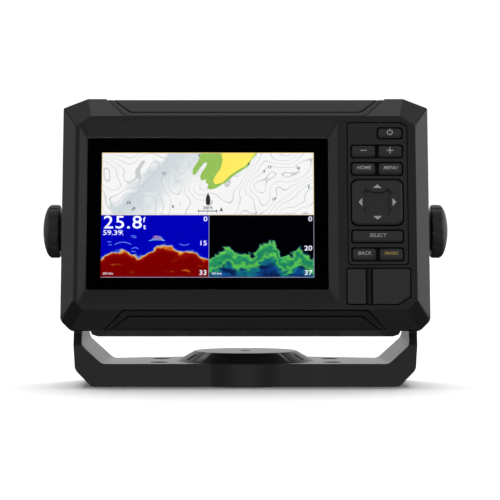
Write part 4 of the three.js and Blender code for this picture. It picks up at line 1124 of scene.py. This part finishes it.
def makeSocket(node, name, bore, pins):
    size = socketSizes
    low, high = localBox(node)
    middle, outer = (low + high) / 2, (high.x - low.x) / 2
    back, barrel = low.z, outer - size["rimWidth"]
    flangeFace = back + size["stand"]
    profile = [(0, high.z), (barrel, high.z), (barrel, flangeFace), (outer - 0.3, flangeFace),
               (outer, flangeFace - 0.3), (outer, flangeFace - size["flange"] + 0.4),
               (outer - 0.4, flangeFace - size["flange"]), (barrel, flangeFace - size["flange"])]
    pitch = (flangeFace - size["flange"] - back - 0.8) / size["threads"]
    for turn in range(size["threads"]):  # thread ridges round the barrel
        start = flangeFace - size["flange"] - pitch * turn
        profile += [(barrel - size["threadDepth"], start - pitch * 0.3), (barrel, start - pitch * 0.65)]
    floor = back + size["floor"]
    profile += [(barrel - 0.3, back + 0.3), (barrel - 0.7, back), (bore / 2 + 0.4, back), (bore / 2, back + 0.4),
                (bore / 2, floor), (0, floor)]
    socket = turned(name, profile, sides=72)
    socket.data.transform(Matrix.Translation((middle.x, middle.y, 0)))
    install(socket, headPlace, "head", "trim", socketFinish, node, smooth=40)
    contacts = []
    for index in range(pins):
        angle = math.tau * (index + 0.5) / pins
        pin = turned("contact", [(0, floor + 0.2), (0.9, floor + 0.2), (0.9, back + size["pinStart"] + 0.5),
                                 (0.5, back + size["pinStart"]), (0, back + size["pinStart"])], sides=20)
        place = (middle.x + bore / 4 * math.cos(angle), middle.y + bore / 4 * math.sin(angle), 0)
        pin.data.transform(Matrix.Translation(place))
        contacts.append(pin)
    install(merge(name + "_contacts", contacts), headPlace, "head", "brass", brassFinish)


def makeVent():
    low, high = localBox("pressure_vent")
    middle, radius = (low + high) / 2, (high.x - low.x) / 2
    profile = [(0, high.z), (2, high.z), (2, low.z + 1.2), (radius, low.z + 1.2), (radius, low.z + 0.4),
               (radius - 0.4, low.z), (radius - 1.2, low.z), (radius - 1.5, low.z + 0.25), (0, low.z + 0.25)]
    vent = turned("breather_vent", profile, sides=40)
    vent.data.transform(Matrix.Translation((middle.x, middle.y, 0)))
    install(vent, headPlace, "head", "rubber", rubberFinish, "pressure_vent")


makeSocket("transducer_socket", "transducer_connector", 17, 6)
makeSocket("power_socket", "power_connector", 13, 4)
makeVent()
print("sockets ready")


# ---- bail bracket, swivel base and centre screw ----

bracketSizes = {
    "low": 0.4, "barTop": 11.7, "front": -31.3, "back": 23.5, "middleBack": 34.5,
    "outer": 86.8, "cornerRise": 8.7, "cornerWidth": 78.5, "inner": 83.3, "innerRise": 21.2, "innerWidth": 72.9,
    "splay": 0.057, "draft": 2.8, "wallDraft": 1.1, "backRise": 1.5, "outerBend": 5.0, "innerBend": 5.0,
    "axisHeight": 79.0, "axisForward": -5.0, "end": 16.0, "neckHeight": 27.05, "neck": (-25.0, 15.0),
    "hub": 35.8, "hubTop": 26.6, "hubHeight": 16.8, "hubInside": 31.5, "hubUnderside": 13.0,
    "hole": 4.6, "holeX": 44.5, "holeY": 15.7, "pad": 13.0, "padInner": 83.2, "padOuter": 91.4, "bore": 4.3,
    "edge": 0.7,
}


def armOutline(y):  # the bracket seen from the front, at its front or back face
    size = bracketSizes
    top = size["axisHeight"] + size["end"] + 2
    draft, wallDraft, rise = (size["draft"], size["wallDraft"], size["backRise"]) if y > 0 else (0, 0, 0)
    outerTop = size["outer"] + size["splay"] * (top - size["barTop"])
    innerTop = size["inner"] - wallDraft + size["splay"] * (top - size["innerRise"])
    half = [
        (size["cornerWidth"], size["low"], 1.0), (size["outer"] - 0.17, size["cornerRise"], size["outerBend"]),
        (outerTop, top, 0), (innerTop, top, 0),
        (size["inner"] - wallDraft, size["innerRise"] + rise, size["innerBend"]),
        (size["innerWidth"] - draft, size["barTop"], size["innerBend"]),
    ]
    other = [(-x, z, radius) for x, z, radius in half[::-1]]
    return roundedOutline(half + other, 5)


def makeBracket():
    size = bracketSizes
    bracket = loft("bail", (armOutline(1), -size["back"]), (armOutline(-1), -size["front"]))
    bracket.data.transform(Matrix.Rotation(math.pi / 2, 4, "X"))  # the outline's height becomes z
    # Seen from the side, the arms narrow from the foot to a round end at the tilt axis.
    centre, radius = Vector((size["axisForward"], size["axisHeight"])), size["end"]
    side = [(size["front"], size["low"] - 1), (size["front"], size["innerRise"]), (size["neck"][0], size["neckHeight"])]
    for step in range(25):
        angle = math.pi - math.pi * step / 24
        side.append((centre.x + radius * math.cos(angle), centre.y + radius * math.sin(angle)))
    side += [(size["neck"][1], size["neckHeight"]), (size["back"], size["innerRise"]), (size["back"], size["low"] - 1)]
    shape = plate("side", [Vector(point) for point in side[::-1]], -120, 120)
    shape.data.transform(Matrix(((0, 0, 1, 0), (1, 0, 0, 0), (0, 1, 0, 0), (0, 0, 0, 1))))
    faceOut(shape)
    cut(bracket, shape, operation="INTERSECT")
    hub, high = size["hub"], size["hubHeight"]
    join(
        bracket,
        plate("spread", [Vector(p) for p in (
            (-size["innerWidth"] + 3, 0), (size["innerWidth"] - 3, 0), (size["innerWidth"] - 3, size["back"]),
            (hub, size["middleBack"]), (-hub, size["middleBack"]), (-size["innerWidth"] + 3, size["back"]),
        )], size["low"], size["barTop"]),
        turned("hub", [(0, size["low"]), (hub, size["low"]), (hub, size["barTop"]),
                       (size["hubTop"], high), (0, high)], sides=128),
    )
    for way in (-1, 1):
        pad = drum("pad", size["pad"], size["padInner"], size["padOuter"], sides=64)
        pad.data.transform(
            Matrix.Translation((0, size["axisForward"], size["axisHeight"])) @ Matrix.Rotation(way * math.pi / 2, 4, "Y")
        )
        join(bracket, pad)
        bore = drum("bore", size["bore"], size["padInner"] - 6, size["padOuter"] + 6)
        bore.data.transform(
            Matrix.Translation((0, size["axisForward"], size["axisHeight"])) @ Matrix.Rotation(way * math.pi / 2, 4, "Y")
        )
        cut(bracket, bore)
    cut(bracket, drum("cavity", size["hubInside"], -1, size["hubUnderside"], sides=128))
    soften(bracket, size["edge"], 3, 24)
    for x in (-size["holeX"], size["holeX"]):
        for y in (-size["holeY"], size["holeY"]):
            cut(bracket, drum("hole", size["hole"], -1, size["barTop"] + 1, x, y))
    cut(bracket, drum("shank", 1.9, size["hubUnderside"] - 1, high + 1), drum("recess", 2.9, high - 2.6, high + 1))
    cut(bracket, *hubNotches())
    install(bracket, mountPlace, "bracket", "bracket", bracketFinish, "bail_bracket")


def hubNotches():  # two short slots that run down the cone
    size = bracketSizes
    rise, run = size["hubHeight"] - size["barTop"], size["hub"] - size["hubTop"]
    slope, length = math.atan2(rise, run), 0.55 * math.hypot(rise, run)
    notches = []
    for angle in (180 + 28, -28):
        notch = block("notch", (-length / 2, -1.1, -1), (length / 2, 1.1, 1))
        notch.data.transform(
            Matrix.Rotation(math.radians(angle), 4, "Z")
            @ Matrix.Translation(((size["hub"] + size["hubTop"]) / 2, 0, (size["hubHeight"] + size["barTop"]) / 2))
            @ Matrix.Rotation(slope, 4, "Y")
        )
        notches.append(notch)
    return notches


def makeScrew():
    low, high = localBox("swivel_screw", mountPlace)
    head = 2.6
    profile = [(0, low.z), (1.2, low.z), (1.6, low.z + 0.4), (1.6, high.z - 2), (head - 0.2, high.z - 2),
               (head, high.z - 1.8), (head, high.z - 0.5), (head - 0.5, high.z), (0, high.z)]
    screw = turned("centre_screw", profile, sides=48)
    cut(screw, drum("drive", 1.25, high.z - 1.2, high.z + 1, sides=6))
    soften(screw, 0.08, 2, 35)
    install(screw, mountPlace, "bracket", "steel", steelFinish, "swivel_screw")


makeBracket()
makeScrew()
print("bracket ready")


# ---- CAD nodes that stay as they are get their finishes ----

keptFinishes = {
    "casing": casingFinish, "trim": trimFinish, "bracket": bracketFinish, "knob": knobFinish,
    "keys": keyFinish, "door": doorFinish, "glass": rubberFinish, "display": rubberFinish,
    "rubber": rubberFinish, "steel": steelFinish, "brass": brassFinish, "board": boardFinish,
    "nylon": nylonFinish, "ceramic": ceramicFinish,
}
keptSlots = {
    "swivel_base": "bracket", "swivel_washer": "nylon", "card_socket": "nylon", "lcd_backlight": "nylon",
    "dpad_plunger": "nylon", "main_board": "board", "sonar_board": "board", "key_board": "board",
    "gps_antenna": "ceramic",
}


def dressKeptNodes():
    for name, node in frame["nodes"].items():
        slot = keptSlots.get(name)
        if slot is None:
            if "screw" in name or "stud" in name or name in ("shield_can", "heat_spreader", "screen_bracket"):
                slot = "steel"
            elif "insert" in name:
                slot = "brass"
            else:
                slot = "rubber"
        node.data.materials.clear()
        node.data.materials.append(keptFinishes[slot])


dressKeptNodes()


# ---- floor, light and camera ----

def makeFloor():
    startClean()
    bpy.ops.mesh.primitive_plane_add(size=40)
    floor = bpy.context.object
    floor.name = "studio_floor"
    # Matt white paper sweep.
    finish, tree, surface = newFinish("matt_white_paper", Roughness=0.9)
    surface.inputs["Base Color"].default_value = linear("#f4f4f4")
    floor.data.materials.append(finish)
    floor.visible_glossy = False
    floor.visible_diffuse = False
    return floor


skySizes = {  # direction from the object, cosine where the soft box begins, strength
    "front": ((0, -1, -0.05), 0.8, 0.52),
    "front high": ((0, -1, 0.62), 0.84, 0.6),
    "overhead": ((0, 0.26, 0.97), 0.8, 0.7),
    "back high": ((0, 0.7, 0.7), 0.8, 0.6),
    "backdrop": ((0, 1, 0.16), 0.87, 1.3),
    "right": ((1, 0, 0.1), 0.8, 0.9),
    "right back": ((0.75, 0.65, 0.2), 0.8, 1.1),
    "right front": ((0.8, -0.45, 0.5), 0.84, 0.75),
    "left": ((-1, 0, 0.1), 0.8, 0.45),
    "left back": ((-0.75, 0.65, 0.2), 0.8, 0.4),
    "left front": ((-0.8, -0.45, 0.5), 0.84, 0.75),
    "floor bounce front": ((0, -0.6, -0.8), 0.7, 0.25),
    "floor bounce": ((0, 0.1, -1), 0.8, 0.1),
}
flagSizes = {"direction": (0, -0.92, 0.39), "from": 0.965, "to": 0.985}  # keeps the cover glass black


def makeSky():
    world = bpy.data.worlds.new("studio")
    bpy.context.scene.world = world
    world.use_nodes = True
    tree = world.node_tree
    place = addNode(tree, "TexCoord").outputs["Generated"]

    def softBox(direction, start, end, low, high):
        towards = Vector(direction).normalized()
        facing = addNode(tree, "VectorMath", {0: place, 1: towards}, operation="DOT_PRODUCT")
        return addNode(tree, "MapRange", {
            "Value": facing.outputs["Value"], "From Min": start, "From Max": end, "To Min": low, "To Max": high,
        }, interpolation_type="SMOOTHSTEP").outputs["Result"]

    total = 0.02
    for direction, start, strength in skySizes.values():
        total = addNode(tree, "Math", {0: total, 1: softBox(direction, start, 1.0, 0.0, strength)}).outputs[0]
    flag = softBox(flagSizes["direction"], flagSizes["from"], flagSizes["to"], 1.0, 0.0)
    total = addNode(tree, "Math", {0: total, 1: flag}, operation="MULTIPLY").outputs[0]
    seen = addNode(tree, "LightPath").outputs["Is Camera Ray"]
    level = addNode(tree, "Mix", {"Factor": seen, "A": total, "B": 1.05})
    tree.links.new(level.outputs["Result"], tree.nodes["Background"].inputs["Strength"])
    tree.nodes["Background"].inputs["Color"].default_value = (1, 1, 1, 1)


def makeLamp(name, kind, energy, location, target, **settings):
    lamp = bpy.data.objects.new(name, bpy.data.lights.new(name, kind))
    bpy.context.scene.collection.objects.link(lamp)
    lamp.data.energy = energy
    for key, value in settings.items():
        setattr(lamp.data, key, value)
    lamp.location = location
    lamp.rotation_euler = (Vector(target) - Vector(location)).to_track_quat("-Z", "Y").to_euler()
    return lamp


def makeCamera():
    camera = bpy.data.objects.new("camera", bpy.data.cameras.new("camera"))
    bpy.context.scene.collection.objects.link(camera)
    camera.location = (0.00235, -1.148, 0.0797)
    camera.rotation_euler = (math.radians(90 - 0.52), 0, 0)
    camera.data.lens = 158.4
    camera.data.sensor_width = 36
    bpy.context.scene.camera = camera


floorLit = bpy.data.collections.new("floor_lit")  # the sun whitens the sweep and leaves the object alone
floorLit.objects.link(makeFloor())
makeSky()
sun = makeLamp("overhead", "SUN", 2.87, (0, 0.72, 1.76), (0, 0, 0), angle=math.radians(60))
sun.light_linking.receiver_collection = floorLit
makeCamera()
bpy.context.scene.view_settings.view_transform = "Standard"
print("stage ready")

startClean()
